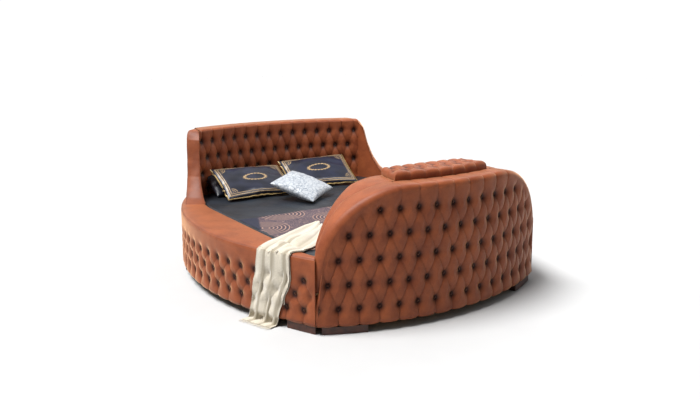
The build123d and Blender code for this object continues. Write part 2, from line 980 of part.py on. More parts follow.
def foot_chamfer():
    # The left swept part of the footboard's inner face: its end, its direction
    # and the direction square to it, towards the mattress
    corner = foot_inner_points(0)
    tip = corner[3]
    flat = corner[2]
    run = math.hypot(flat[0] - tip[0], flat[1] - tip[1])
    way = ((flat[0] - tip[0]) / run, (flat[1] - tip[1]) / run)
    return tip, way, (-way[1], way[0])


def foot_joint_plate():
    # A bent plate in the corner between the left rail and the footboard
    tip, way, normal = foot_chamfer()
    nose = (-rail_inner_x, foot_inner_y)
    slope = (tip[0] - nose[0], tip[1] - nose[1])
    start = (-rail_inner_x, foot_inner_y + joint_plate_reach)
    stop = (tip[0] + way[0] * joint_plate_reach, tip[1] + way[1] * joint_plate_reach)
    moved = (tip[0] + normal[0] * joint_plate, tip[1] + normal[1] * joint_plate)
    inner_tip = crossing(moved, way, (nose[0] + joint_plate, nose[1]), slope)
    inner_stop = (stop[0] + normal[0] * joint_plate, stop[1] + normal[1] * joint_plate)
    face = make_face(Polyline(
        start, nose, tip, stop, inner_stop, inner_tip,
        (nose[0] + joint_plate, nose[1]), (start[0] + joint_plate, start[1]), start,
    ))
    return prism(face, joint_plate_low, joint_plate_high)


def head_corner():
    # Plan corner of the left rail's inner face and the headboard panel
    angle = 0.0
    for n in range(40):
        x, y = head_xy(-angle, head_panel_radius)
        wall = arc_x(inner_radius, inner_centre_x, inner_turn_y, y)
        angle += math.degrees((x - wall) / head_panel_radius)
    return head_xy(-angle, head_panel_radius)


def head_joint_plate():
    # A bent plate in the corner between the left rail and the headboard
    low = joint_plate_low
    high = joint_plate_high
    near = (head_disc(head_panel_radius) & inner_disc(0)) & across(0, half_length, low, high)
    far = head_disc(head_panel_radius - joint_plate) & inner_disc(-joint_plate)
    x, y = head_corner()
    reach = joint_plate_reach
    return (near - far) & slab(x - reach, x + reach, y - reach, y + reach, low, high)


def screw_places():
    # Seats and directions of the left side's screws on both joint plates
    tip, way, normal = foot_chamfer()
    reach = joint_plate_reach - screw_inset
    places = [((-rail_inner_x + joint_plate, foot_inner_y + reach), (1, 0))]
    seat = (
        tip[0] + way[0] * reach + normal[0] * joint_plate,
        tip[1] + way[1] * reach + normal[1] * joint_plate,
    )
    places.append((seat, normal))
    head = head_corner()
    seat_y = head[1] - reach
    seat_x = arc_x(inner_radius - joint_plate, inner_centre_x, inner_turn_y, seat_y)
    places.append(((seat_x, seat_y), (inner_centre_x - seat_x, inner_turn_y - seat_y)))
    angle = math.degrees(math.asin((head[0] + reach) / (head_panel_radius - joint_plate)))
    seat = head_xy(angle, head_panel_radius - joint_plate)
    places.append((seat, (-seat[0], head_arc_y - seat[1])))
    return places


def at_screw_places(shape):
    pieces = []
    middle = (joint_plate_low + joint_plate_high) / 2
    span = joint_plate_high - joint_plate_low
    for seat, way in screw_places():
        for share in (-1, 1):
            plane = Plane(origin=(seat[0], seat[1], middle + share * span / 4), z_dir=(way[0], way[1], 0))
            pieces.append(plane.location * shape)
    return pieces


def screw_shank():
    return Pos(0, 0, -screw_length / 2) * Cylinder(screw_radius, screw_length)


def screw_solid():
    return screw_shank() + Pos(0, 0, screw_head_height / 2) * Cylinder(screw_head_radius, screw_head_height)


def drilled(shape, tools):
    for tool in tools:
        shape = shape - tool
    return shape


# Bedding

def bed_cover():
    # The cover lies on the mattress and fills the two corners at its foot
    body = mattress_block(0, mattress_top, cover_top)
    tip = foot_inner_points(0)[3]
    near_y = mattress_foot_y
    inset = side_gap
    wedge = make_face(Polyline(
        (-foot_flat_half, near_y + inset),
        (-foot_flat_half, near_y),
        (tip[0] + inset * 4, tip[1] + inset * 4),
        (-mattress_half + inset, near_y + inset),
        (-foot_flat_half, near_y + inset),
    ))
    corner = prism(wedge, mattress_top, cover_top)
    return body + corner + mirrored(corner)


def bed_runner():
    side_x = mattress_half - runner_inset
    return slab(-side_x, side_x, mattress_foot_y + runner_inset, runner_head_y, cover_top, runner_top)


def pillow_point(u, v, side, size):
    # Crown in the middle, sides drawn in between the corners
    pull_share = 0.07
    edge_share = 0.08
    x = size[0] / 2 * u * (1 - pull_share * (1 - v * v) * u * u)
    y = size[1] / 2 * v * (1 - pull_share * (1 - u * u) * v * v)
    swell = math.sqrt(max(0.0, (1 - u ** 4) * (1 - v ** 4)))
    edge = size[2] * edge_share
    return (x, y, side * (edge + (size[2] - edge) * swell) / 2)


def pillow_solid(size, steps=8):
    grid = [-1 + 2 * n / steps for n in range(steps + 1)]
    faces = []
    for side in (-1, 1):
        for i in range(steps):
            for j in range(steps):
                a = pillow_point(grid[i], grid[j], side, size)
                b = pillow_point(grid[i + 1], grid[j], side, size)
                c = pillow_point(grid[i + 1], grid[j + 1], side, size)
                d = pillow_point(grid[i], grid[j + 1], side, size)
                faces += [flat_face([a, b, c]), flat_face([a, c, d])]
    for n in range(steps):
        for edge in (-1, 1):
            lines = (
                ((grid[n], edge), (grid[n + 1], edge)),
                ((edge, grid[n]), (edge, grid[n + 1])),
            )
            for first, second in lines:
                faces.append(flat_face([
                    pillow_point(*first, -1, size),
                    pillow_point(*second, -1, size),
                    pillow_point(*second, 1, size),
                    pillow_point(*first, 1, size),
                ]))
    return closed_solid(faces)


def laid(shape, centre, yaw, tilt, roll):
    # A pillow in its place, pressed flat on the bed and kept off the headboard
    placed = Pos(*centre) * Rot(0, 0, yaw) * Rot(tilt, 0, 0) * Rot(0, roll, 0) * shape
    pressed = placed - across(-half_length, half_length, 0, cover_top + soft_gap)
    return pressed & head_disc(head_front_radius - side_gap)


def on_bed(place):
    # Sideways from the middle, forward from the rear end, up from the runner
    return (place[0], half_length - place[1], runner_top + place[2])


def throw_lines():
    # Stations of the throw: points under it and over it, from the bed's middle
    # across the rail and down to the floor, where its hem turns outwards
    steps = 4
    low = runner_top + soft_gap
    top = rail_top + soft_gap * 2
    thick = throw_thickness
    lap = -cover_lap * 2
    flat_lines = (
        ((-494, -378), (-499, -502), low),
        ((-624, -386), (-640, -650), low),
        ((-784, -461), (-786, -775), low),
        ((-874, -540), (-874, -800), top),
        ((-905, -562), (-907, -896), top),
    )
    hang_lines = (
        (-646, -888, 0, top, 0, 1),
        (-640, -888, lap, top, 1, 1),
        (-612, -890, lap, 300, 1, 0),
        (-581, -818, lap, 122, 1, 0),
        (-557, -790, lap, soft_gap, 1, 1),
        (-550, -780, lap - throw_floor_reach, soft_gap, 0, 1),
    )
    under = []
    over = []
    for far, near, level in flat_lines:
        line = []
        for n in range(steps + 1):
            share = n / steps
            line.append((far[0] + (near[0] - far[0]) * share, far[1] + (near[1] - far[1]) * share))
        under.append([(x, y, level) for x, y in line])
        over.append([(x, y, level + thick) for x, y in line])
    for far, near, depth, level, out, up in hang_lines:
        walks = [far + (near - far) * n / steps for n in range(steps + 1)]
        under.append([(*rail_xy(walk, depth), level) for walk in walks])
        over.append([(*rail_xy(walk, depth - thick * out), level + thick * up) for walk in walks])
    return under, over


def throw():
    under, over = throw_lines()
    last = len(under) - 1
    side = len(under[0]) - 1
    faces = []

    def patch(a, b, c, d):
        return [flat_face([a, b, c]), flat_face([a, c, d])]

    for sheet in (under, over):
        for i in range(last):
            for n in range(side):
                faces += patch(sheet[i][n], sheet[i][n + 1], sheet[i + 1][n + 1], sheet[i + 1][n])
    for i in range(last):
        for n in (0, side):
            faces += patch(under[i][n], under[i + 1][n], over[i + 1][n], over[i][n])
    for i in (0, last):
        for n in range(side):
            faces += patch(under[i][n], under[i][n + 1], over[i][n + 1], over[i][n])
    return closed_solid(faces)


def save_rails(button, holes):
    save_pair("rail_outer_board", rail_outer_board())
    save_pair("rail_inner_board", drilled(rail_inner_board(), holes))
    save_pair("rail_top_board", rail_top_board())
    ribs = rail_ribs()
    save("rail_ribs", *ribs, *[mirrored(rib) for rib in ribs])
    save_pair("rail_facing", rail_facing())
    save_pair("rail_buttons", *rail_buttons(button))
    save_pair("rail_top_pad", rail_top_cover())
    feet = rail_feet()
    save("rail_feet", *feet, *[mirrored(block) for block in feet])


def save_headboard(button, holes):
    save("headboard_front_panel", drilled(head_front_panel(), holes))
    save("headboard_studs", *head_studs())
    save("headboard_back_panel", head_back_panel())
    save("headboard_cap", head_cap())
    save("headboard_tufted_pad", head_facing())
    save("headboard_buttons", *head_buttons(button))
    save("headboard_top_pad", head_top_cover())
    save("headboard_feet", *headboard_feet())
    frame = wing_volume(wing_pad, 0)
    save_pair("wing_frame", frame)
    save_pair("wing_pad", wing_volume(0, 0) - frame)


def save_footboard(button, holes):
    save("footboard_front_panel", foot_front_panel())
    save("footboard_inner_panel", drilled(foot_inner_panel(), holes))
    save("footboard_inner_pad", drilled(foot_inner_cover(), holes))
    save("footboard_base_board", foot_hollow(foot_height, foot_height + board))
    save("footboard_ribs", *foot_ribs())
    save("footboard_deck", foot_deck())
    save("footboard_rim_pad", foot_rim())
    save("footboard_facing", foot_facing())
    save("footboard_buttons", *foot_buttons(button))
    save("footboard_feet", footboard_feet())


def save_lift(button):
    low = lift_floor + lift_plate
    save("lift_base_plate", lift_base())
    save("lift_outer_column", lift_tube(0, low, low + lift_height))
    save("lift_motor", lift_motor())
    save("lift_middle_tube", lift_tube(1, low + lift_step, low + lift_step + lift_height))
    save("lift_inner_tube", lift_tube(2, low + lift_step * 2, lid_floor - lift_plate))
    save("screen_bracket", lift_head_and_bracket())
    save("lid_board", prism(lid_plan(0), lid_floor, lid_pad_floor))
    save("lid_pad", lid_cushion())
    save("lid_buttons", *lid_buttons(button))


def save_base(shanks):
    ledge = side_ledge()
    save("slat_ledges", ledge, mirrored(ledge), *end_ledges())
    save("centre_beam", centre_beam())
    save("centre_legs", *centre_legs())
    save("slats", *slats())
    plates = [drilled(foot_joint_plate(), shanks), drilled(head_joint_plate(), shanks)]
    save("joint_plates", *plates, *[mirrored(plate) for plate in plates])
    screws = at_screw_places(screw_solid())
    save("joint_screws", *screws, *[mirrored(screw) for screw in screws])


def save_bedding():
    save("mattress", mattress_block(0, mattress_bottom + soft_gap, mattress_top))
    save("bed_cover", bed_cover())
    save("bed_runner", bed_runner())
    sham = pillow_solid(sham_size)
    save("sham_left", laid(sham, on_bed(sham_left_place), 0, 28, 2))
    save("sham_right", laid(sham, on_bed(sham_right_place), -8, 30, -3))
    pillow = pillow_solid(back_pillow_size)
    save("back_pillow_left", laid(pillow, on_bed(back_pillow_left_place), 4, 25, 0))
    save("back_pillow_right", laid(pillow, on_bed(back_pillow_right_place), -4, 25, 0))
    save("lace_cushion", laid(pillow_solid(cushion_size), on_bed(lace_cushion_place), 37, 18, -5))
    save("throw", throw())


def build_all():
    button = button_solid()
    shanks = at_screw_places(screw_shank())
    both = shanks + [mirrored(shank) for shank in shanks]
    save_rails(button, shanks)
    save_headboard(button, both)
    save_footboard(button, both)
    save_lift(button)
    save_base(shanks)
    save_bedding()


build_all()
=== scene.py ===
import bpy
import json
import math
import numpy as np
from mathutils.bvhtree import BVHTree
from mathutils import Matrix, Vector


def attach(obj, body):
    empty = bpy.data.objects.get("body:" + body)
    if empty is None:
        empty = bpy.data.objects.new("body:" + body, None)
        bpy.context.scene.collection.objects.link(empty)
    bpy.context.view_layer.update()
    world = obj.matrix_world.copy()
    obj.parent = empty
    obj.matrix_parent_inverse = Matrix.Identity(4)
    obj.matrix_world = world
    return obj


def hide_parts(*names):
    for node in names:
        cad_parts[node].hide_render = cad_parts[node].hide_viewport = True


# Round bed: tufted copper velvet, winged headboard, lid on a thick footboard, dressed bed
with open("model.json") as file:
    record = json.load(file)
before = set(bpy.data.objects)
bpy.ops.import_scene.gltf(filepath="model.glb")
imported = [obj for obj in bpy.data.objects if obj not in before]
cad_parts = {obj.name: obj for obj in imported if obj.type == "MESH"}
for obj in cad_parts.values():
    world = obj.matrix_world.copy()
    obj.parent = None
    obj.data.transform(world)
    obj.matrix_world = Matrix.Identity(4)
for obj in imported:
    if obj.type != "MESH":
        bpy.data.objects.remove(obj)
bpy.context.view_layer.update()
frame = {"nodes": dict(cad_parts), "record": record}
mm = 0.001
made = {}
print("frame loaded")

# The camera that took the photo, found from its rows of buttons
shot = dict(place=(-2.8675, -4.3179, 1.6512), turn=-33.938, tilt=8.863, focalPx=699.0, widePx=700.0,
            tallPx=400.0, axisPx=155.0)


def addCamera():
    data = bpy.data.cameras.new("photoCamera")
    data.sensor_width = 36.0
    data.lens = 36.0 * shot["focalPx"] / shot["widePx"]
    data.shift_y = (shot["axisPx"] - shot["tallPx"] / 2) / shot["widePx"]
    data.clip_end = 60
    camera = addObject("photoCamera", data)
    camera.location = shot["place"]
    camera.rotation_euler = (math.radians(90 - shot["tilt"]), 0, math.radians(shot["turn"]))
    bpy.context.scene.camera = camera


def toLinear(code):
    # sRGB hex to the linear colour a shader wants
    parts = [int(code[i:i + 2], 16) / 255 for i in (1, 3, 5)]
    return tuple([p / 12.92 if p <= 0.04045 else ((p + 0.055) / 1.055) ** 2.4 for p in parts] + [1.0])


def addNode(mat, kind, settings=None, links=None):
    node = mat.node_tree.nodes.new(kind)
    for key, value in (settings or {}).items():
        if key in node.inputs:
            node.inputs[key].default_value = value
        else:
            setattr(node, key, value)
    for key, source in (links or {}).items():
        mat.node_tree.links.new(source, node.inputs[key])
    return node


def newMaterial(name, look):
    mat = bpy.data.materials.new(name)
    mat.use_nodes = True
    shader = mat.node_tree.nodes["Principled BSDF"]
    for key, value in look.items():
        shader.inputs[key].default_value = value
    return mat, shader


def paint(mat, shader, colour):
    mat.node_tree.links.new(colour, shader.inputs["Base Color"])


def noiseNode(mat, spot, scale, detail=2.0, **more):
    settings = {"Scale": scale, "Detail": detail, **more}
    return addNode(mat, "ShaderNodeTexNoise", settings, {"Vector": spot}).outputs["Fac"]


def waveNode(mat, spot, scale, distortion, bands="X", **more):
    settings = {"Scale": scale, "Distortion": distortion, "bands_direction": bands, **more}
    return addNode(mat, "ShaderNodeTexWave", settings, {"Vector": spot}).outputs["Fac"]


def cellNode(mat, spot, scale, loose, feature="F1", **more):
    settings = {"feature": feature, "Scale": scale, "Randomness": loose, **more}
    return addNode(mat, "ShaderNodeTexVoronoi", settings, {"Vector": spot}).outputs["Distance"]


def ownValue(mat, name):
    # A value kept on the piece's own vertices
    return addNode(mat, "ShaderNodeAttribute", {"attribute_name": name}).outputs["Fac"]


def rampNode(mat, factor, stops):
    node = addNode(mat, "ShaderNodeValToRGB", None, {"Fac": factor})
    ramp = node.color_ramp
    while len(ramp.elements) < len(stops):
        ramp.elements.new(0.5)
    for element, (place, code) in zip(ramp.elements, stops):
        element.position = place
        element.color = toLinear(code)
    return node.outputs["Color"]


def blendNode(mat, factor, first, second):
    node = addNode(mat, "ShaderNodeMix", {"data_type": "RGBA"})
    link = mat.node_tree.links.new
    if isinstance(factor, float):
        node.inputs[0].default_value = factor
    else:
        link(factor, node.inputs[0])
    for socket, value in ((6, first), (7, second)):
        if isinstance(value, str):
            node.inputs[socket].default_value = toLinear(value)
        else:
            link(value, node.inputs[socket])
    return node.outputs[2]


def joinMath(mat, how, first, second=0.0, clamp=False):
    node = addNode(mat, "ShaderNodeMath", {"operation": how, "use_clamp": clamp})
    for n, value in enumerate((first, second)):
        if isinstance(value, (int, float)):
            node.inputs[n].default_value = value
        else:
            mat.node_tree.links.new(value, node.inputs[n])
    return node.outputs[0]


def placeNode(mat, scale=(1, 1, 1), turn=(0, 0, 0)):
    coord = addNode(mat, "ShaderNodeTexCoord")
    spot = addNode(mat, "ShaderNodeMapping", {"Scale": scale, "Rotation": turn},
                   {"Vector": coord.outputs["Object"]})
    return spot.outputs["Vector"]


def addBump(mat, shader, height, strength, distance):
    bump = addNode(mat, "ShaderNodeBump", {"Strength": strength, "Distance": distance}, {"Height": height})
    mat.node_tree.links.new(bump.outputs["Normal"], shader.inputs["Normal"])


# deep is the colour of the painted shade in creases, button craters and seams
velvetLook = dict(deep="#2A0C05", body="#6C3018", light="#924C29", patch=9.0, pile=520.0)


def makeVelvet():
    # Cut-pile polyester velvet: a soft copper with light rims and brushed patches, and painted shade that
    # darkens it towards a deep tone in the creases, button craters and seams
    mat, shader = newMaterial("copperVelvet", {
        "Roughness": 0.5, "Specular IOR Level": 0.25, "Sheen Weight": 0.85, "Sheen Roughness": 0.30,
        "Sheen Tint": toLinear("#FFC794")})
    spot = placeNode(mat)
    nap = noiseNode(mat, spot, velvetLook["patch"], 5.0, Roughness=0.6)
    pile = noiseNode(mat, spot, velvetLook["pile"], 2.0)
    foldAndShade = ownValue(mat, "foldAndShade")
    tone = rampNode(mat, nap, ((0.30, velvetLook["body"]), (0.74, velvetLook["light"])))
    speck = blendNode(mat, 0.16, tone, rampNode(mat, pile, ((0.35, "#6A3018"), (0.65, "#B8714C"))))
    # Painted shade: the value kept on the piece's vertices darkens the colour towards the deep tone
    shade = blendNode(mat, joinMath(mat, "MULTIPLY", foldAndShade, 1.05, clamp=True), speck, velvetLook["deep"])
    paint(mat, shader, shade)
    height = joinMath(mat, "ADD", joinMath(mat, "MULTIPLY", nap, 2.2), pile)
    addBump(mat, shader, height, 0.35, 0.0012)
    return mat


def makeSatin(name, base, light, rough, thread):
    # Sateen bedding: long floats, a directional gloss and fine rows of thread
    mat, shader = newMaterial(name, {"Roughness": rough, "Specular IOR Level": 0.5, "Sheen Weight": 0.05,
                                     "Sheen Roughness": 0.4})
    spot = placeNode(mat)
    cloudy = noiseNode(mat, spot, 6.0, 4.0)
    rows = waveNode(mat, spot, thread, 1.2)
    tone = rampNode(mat, cloudy, ((0.35, base), (0.75, light)))
    paint(mat, shader, blendNode(mat, joinMath(mat, "MULTIPLY", rows, 0.18), tone, light))
    addBump(mat, shader, rows, 0.2, 0.0006)
    return mat


def figureNode(mat, shape, low, high):
    # A clean-edged figure from a distance value
    settings = {"From Min": low, "From Max": high, "To Min": 1.0, "To Max": 0.0}
    return addNode(mat, "ShaderNodeMapRange", settings, {"Value": shape}).outputs["Result"]


def makeRunnerCloth():
    # Jacquard runner: a plain navy border and a mauve ground with ringed medallions among scrolls
    mat, shader = newMaterial("runnerJacquard", {"Roughness": 0.5, "Specular IOR Level": 0.3,
                                                 "Sheen Weight": 0.04})
    spot = placeNode(mat, (2.6, 2.6, 2.6), turn=(0, 0, math.radians(45)))
    far = cellNode(mat, spot, 1.0, 0.0, voronoi_dimensions="2D")
    vine = waveNode(mat, spot, 4.4, 8.0, **{"wave_type": "RINGS", "Detail": 1.0, "Detail Scale": 2.2})
    bands = figureNode(mat, joinMath(mat, "PINGPONG", far, 0.034), 0.006, 0.013)
    medal = figureNode(mat, far, 0.41, 0.42)
    scroll = figureNode(mat, joinMath(mat, "ABSOLUTE", joinMath(mat, "SUBTRACT", vine, 0.5)), 0.10, 0.20)
    weave = noiseNode(mat, placeNode(mat), 160.0, 2.0)
    fieldSide = blendNode(mat, scroll, "#2A2030", "#8C7268")
    medalSide = blendNode(mat, bands, "#261D2B", "#A08070")
    lined = blendNode(mat, medal, fieldSide, medalSide)
    woven = blendNode(mat, joinMath(mat, "MULTIPLY", weave, 0.22), lined, "#54404A")
    panel = ownValue(mat, "panel")
    paint(mat, shader, blendNode(mat, panel, "#10152A", woven))
    addBump(mat, shader, scroll, 0.35, 0.001)
    return mat


def makeLaceCloth():
    # Corded lace: slate cords and grey eyelets on pale taffeta
    mat, shader = newMaterial("ivoryLace", {"Roughness": 0.42, "Specular IOR Level": 0.5, "Sheen Weight": 0.2})
    spot = placeNode(mat, (24.0, 24.0, 24.0))
    cord = cellNode(mat, spot, 1.0, 0.85, "DISTANCE_TO_EDGE")
    dots = cellNode(mat, spot, 0.9, 0.2)
    line = figureNode(mat, cord, 0.015, 0.05)
    ring = figureNode(mat, joinMath(mat, "PINGPONG", dots, 0.2), 0.03, 0.07)
    ground = blendNode(mat, ring, "#A6AAAE", "#7C848F")
    paint(mat, shader, blendNode(mat, line, ground, "#5C6673"))
    addBump(mat, shader, line, 0.6, 0.0015)
    return mat


def makeShamCloth():
    # Navy satin; trim says where the gold cords of the border, wreath and corner fans lie
    mat, shader = newMaterial("navyShamSatin", {"Roughness": 0.34, "Specular IOR Level": 0.5,
                                                "Sheen Weight": 0.03})
    tone = noiseNode(mat, placeNode(mat), 9.0, 4.0)
    ground = rampNode(mat, tone, ((0.35, "#0B0E1C"), (0.75, "#191E34")))
    trim = ownValue(mat, "trim")
    cord = noiseNode(mat, placeNode(mat), 420.0)
    gold = rampNode(mat, cord, ((0.4, "#77603F"), (0.65, "#BFA27A")))
    paint(mat, shader, blendNode(mat, trim, ground, gold))
    addBump(mat, shader, trim, 0.5, 0.001)
    return mat


def makeKnit():
    # Ecru wool throw: slanting knitted rows about 9 mm apart under a soft fuzz
    mat, shader = newMaterial("ecruWoolKnit", {"Roughness": 0.9, "Specular IOR Level": 0.2, "Sheen Weight": 0.5,
                                               "Sheen Roughness": 0.6})
    spot = placeNode(mat)
    rows = waveNode(mat, spot, 42.0, 2.0, "DIAGONAL", Detail=1.0)
    fuzz = noiseNode(mat, spot, 260.0, 3.0)
    foldAndShade = ownValue(mat, "foldAndShade")
    wool = rampNode(mat, fuzz, ((0.3, "#A99F8D"), (0.7, "#C9C0AE")))
    # Painted shade: the value kept on the vertices darkens the wool in the hollows of the folds
    paint(mat, shader, blendNode(mat, joinMath(mat, "MULTIPLY", foldAndShade, 0.8), wool, "#7D7159"))
    addBump(mat, shader, joinMath(mat, "ADD", rows, fuzz), 0.22, 0.0012)
    return mat


def makeWood(name, dark, light, rough, grain, coat=0.0):
    # Sawn and sanded wood: long grain bands with fine pores, lacquered where coat is set
    mat, shader = newMaterial(name, {"Roughness": rough, "Coat Weight": coat, "Coat Roughness": 0.2})
    spot = placeNode(mat, (1.0, 8.0, 8.0))
    bands = noiseNode(mat, spot, grain, 6.0, Distortion=0.8)
    pores = noiseNode(mat, spot, grain * 18, 2.0)
    tone = rampNode(mat, bands, ((0.3, dark), (0.7, light)))
    paint(mat, shader, blendNode(mat, joinMath(mat, "MULTIPLY", pores, 0.25), tone, dark))
    addBump(mat, shader, pores, 0.15, 0.0005)
    return mat


def makeMetal(name, base, metallic, rough, scratch):
    # Steel: powder coated has a fine orange peel, brushed has long scratches
    mat, shader = newMaterial(name, {"Metallic": metallic, "Roughness": rough})
    spot = placeNode(mat, (1.0, 1.0, scratch))
    grit = noiseNode(mat, spot, 300.0, 3.0)
    paint(mat, shader, blendNode(mat, joinMath(mat, "MULTIPLY", grit, 0.2), base, "#8A8C90"))
    addBump(mat, shader, grit, 0.12, 0.0003)
    return mat


# Base and lit colour, roughness and rows of thread
velvet = makeVelvet()
navySatin = makeSatin("navySateen", "#0A0D18", "#161A2A", 0.38, 420.0)
slateSatin = makeSatin("slateSateen", "#0B0F15", "#18202A", 0.42, 380.0)
ticking = makeSatin("mattressTicking", "#CFC8BA", "#E9E4D8", 0.75, 120.0)
goldCord = makeSatin("goldCord", "#8F7443", "#D8BE85", 0.45, 300.0)
runnerCloth = makeRunnerCloth()
laceCloth = makeLaceCloth()
shamCloth = makeShamCloth()
knit = makeKnit()
finishes = {
    "velvet": velvet, "navy_satin": navySatin, "slate_satin": slateSatin, "gold_cloth": goldCord,
    "cream_wool": knit, "ticking": ticking,
    "plywood": makeWood("birchPly", "#A9824F", "#CDAA78", 0.6, 3.0),
    "dark_wood": makeWood("stainedBeech", "#2E150C", "#552C1C", 0.5, 4.0, 0.04),
    "slat_wood": makeWood("pineSlat", "#C09A62", "#DDBE8C", 0.55, 3.0),
    "steel": makeMetal("powderCoatSteel", "#1E1F22", 0.0, 0.5, 1.0),
    "bright_steel": makeMetal("brushedSteel", "#A8AAAE", 1.0, 0.32, 0.05)}
slotOf = {row["node"]: row["material_slot"] for row in frame["record"]["subparts"]}
for nodeName, node in frame["nodes"].items():
    node.data.materials.clear()
    node.data.materials.append(finishes[slotOf[nodeName]])
print("materials made")


def deselectAll():
    bpy.ops.object.select_all(action="DESELECT")


def pick(*pieces):
    deselectAll()
    for piece in pieces:
        piece.select_set(True)
    bpy.context.view_layer.objects.active = pieces[0]


def addObject(name, data):
    thing = bpy.data.objects.new(name, data)
    bpy.context.scene.collection.objects.link(thing)
    return thing


def spotsOf(piece):
    return np.array([v.co[:] for v in piece.data.vertices])


def putSpots(piece, spots):
    piece.data.vertices.foreach_set("co", spots.ravel())


def makeSmooth(piece):
    piece.data.polygons.foreach_set("use_smooth", [True] * len(piece.data.polygons))


def startGrid(name, across, along):
    deselectAll()
    bpy.ops.mesh.primitive_grid_add(x_subdivisions=across, y_subdivisions=along, size=2, location=(0, 0, 0))
    piece = bpy.context.active_object
    piece.name = name
    piece.data.name = name
    return piece


def evenly(count, start=0):
    return np.linspace(start, 1, count)


def lineUp(*runs):
    # One row of parameters from runs of (start, stop, steps)
    values = [float(runs[0][0])]
    for start, stop, steps in runs:
        values += list(np.linspace(start, stop, steps + 1)[1:])
    return np.array(values)


def surfaceNormals(points):
    wide = np.gradient(points, axis=1)
    tall = np.gradient(points, axis=0)
    normal = np.cross(wide, tall)
    return normal / np.maximum(np.linalg.norm(normal, axis=2, keepdims=True), 1e-9)


def shapeGrid(name, material, uLine, vLine, base, puff=None, flip=False, body="bed"):
    # A grid primitive whose vertices are moved onto base(u, v) in mm, then pushed along the normal by puff
    across, along = len(uLine) - 1, len(vLine) - 1
    piece = startGrid(name, across, along)
    mesh = piece.data
    flat = spotsOf(piece)
    iu = np.rint((flat[:, 0] + 1) / 2 * across).astype(int)
    iv = np.rint((flat[:, 1] + 1) / 2 * along).astype(int)
    u, v = np.meshgrid(uLine, vLine)
    points = np.stack(base(u, v), -1).astype(float)
    foldAndShade = np.zeros_like(u)
    if puff is not None:
        height, foldAndShade = puff(u, v, points)
        side = -1 if flip else 1
        points = points + surfaceNormals(points) * (side * height)[..., None]
    putSpots(piece, points[iv, iu] * mm)
    # Painted shade: puff's second value, squared and scaled, is kept on the vertices to darken creases and
    # hollows in the colour
    store(piece, "foldAndShade", unit(2.1 * foldAndShade[iv, iu] ** 2.0))
    if flip:
        mesh.flip_normals()
    makeSmooth(piece)
    mesh.update()
    return settle(piece, material, body)


def kept(piece, name):
    return np.array([entry.value for entry in piece.data.attributes[name].data])


def editMesh(action, **settings):
    bpy.ops.object.mode_set(mode="EDIT")
    bpy.ops.mesh.select_all(action="SELECT")
    action(**settings)
    bpy.ops.object.mode_set(mode="OBJECT")


def mirrored(base, side):
    # The same surface on the other side where side is -1
    def placed(u, v):
        x, y, z = base(u, v)
        return side * x, y, z
    return placed


def store(piece, name, values):
    data = piece.data.attributes.get(name) or piece.data.attributes.new(name, "FLOAT", "POINT")
    data.data.foreach_set("value", np.asarray(values, dtype=np.float32).ravel())


def settle(piece, material, body="bed"):
    # Gives a piece its look, its body and its slot
    piece.data.materials.clear()
    piece.data.materials.append(material)
    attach(piece, body)
    made[piece.name] = piece
    return piece


def unit(value):
    return np.clip(value, 0, 1)


def smoothStep(value):
    share = unit(value)
    return share * share * (3 - 2 * share)


def roundShare(share):
    return np.sqrt(unit(share * (2 - share)))


# Tufting: how high the creases stay, a button's crater and how pinched the crowns are; reaches in mm
# over which the pleats past the last row soften, the creases sink and a plain border rises
tuft = dict(crease=0.48, crater=27.0, power=1.4, thin=0.42, soften=30, sinkBy=0.25, sink=60, plain=22,
            plainPower=1.3)


def awayFromSeat(far):
    return 1 - np.exp(-(far / tuft["crater"]) ** tuft["power"])


def tuftHeight(k, q, last, parity, halfPitch, rowPitch, plainAbove=False):
    # k counts half pitches and q rows; 0 in a button's seat, 1 on a crown
    crease, thin = tuft["crease"], tuft["thin"]
    a = (k + q + parity) / 2
    b = (k - q + parity) / 2
    restA, restB = a - np.rint(a), b - np.rint(b)
    crown = (roundShare(2 * np.abs(restA)) * roundShare(2 * np.abs(restB))) ** thin
    far = np.hypot((restA + restB) * halfPitch, (restA - restB) * rowPitch)
    height = awayFromSeat(far) * (crease + (1 - crease) * crown)
    for past, row in ((-q, 0), (q - last, last)):
        m = (k + row + parity) / 2
        rest = m - np.rint(m)
        reach = np.maximum(past, 0) * rowPitch
        line = roundShare(2 * np.abs(rest))
        crown = line ** (2 * thin * (0.5 + 0.5 * np.exp(-reach / tuft["soften"])))
        far = np.hypot(2 * rest * halfPitch, reach)
        ground = crease * (1 - tuft["sinkBy"] * (1 - np.exp(-reach / tuft["sink"])))
        if plainAbove and row:
            ground = 1 - (1 - ground) * np.exp(-(reach / tuft["plain"]) ** tuft["plainPower"])
        beyond = awayFromSeat(far) * (ground + (1 - ground) * crown)
        height = np.where(past > 0, beyond, height)
    return height


buttonShape = dict(radius=10.5, height=7.0, segments=12, rings=6)


def buttonGrid(reaches, odd=0):
    # The row and half-pitch number of each button, every row set half a pitch from the last one
    for row, (low, high) in enumerate(reaches):
        for k in range(low, high + 1):
            if (k + row) % 2 == odd:
                yield row, k


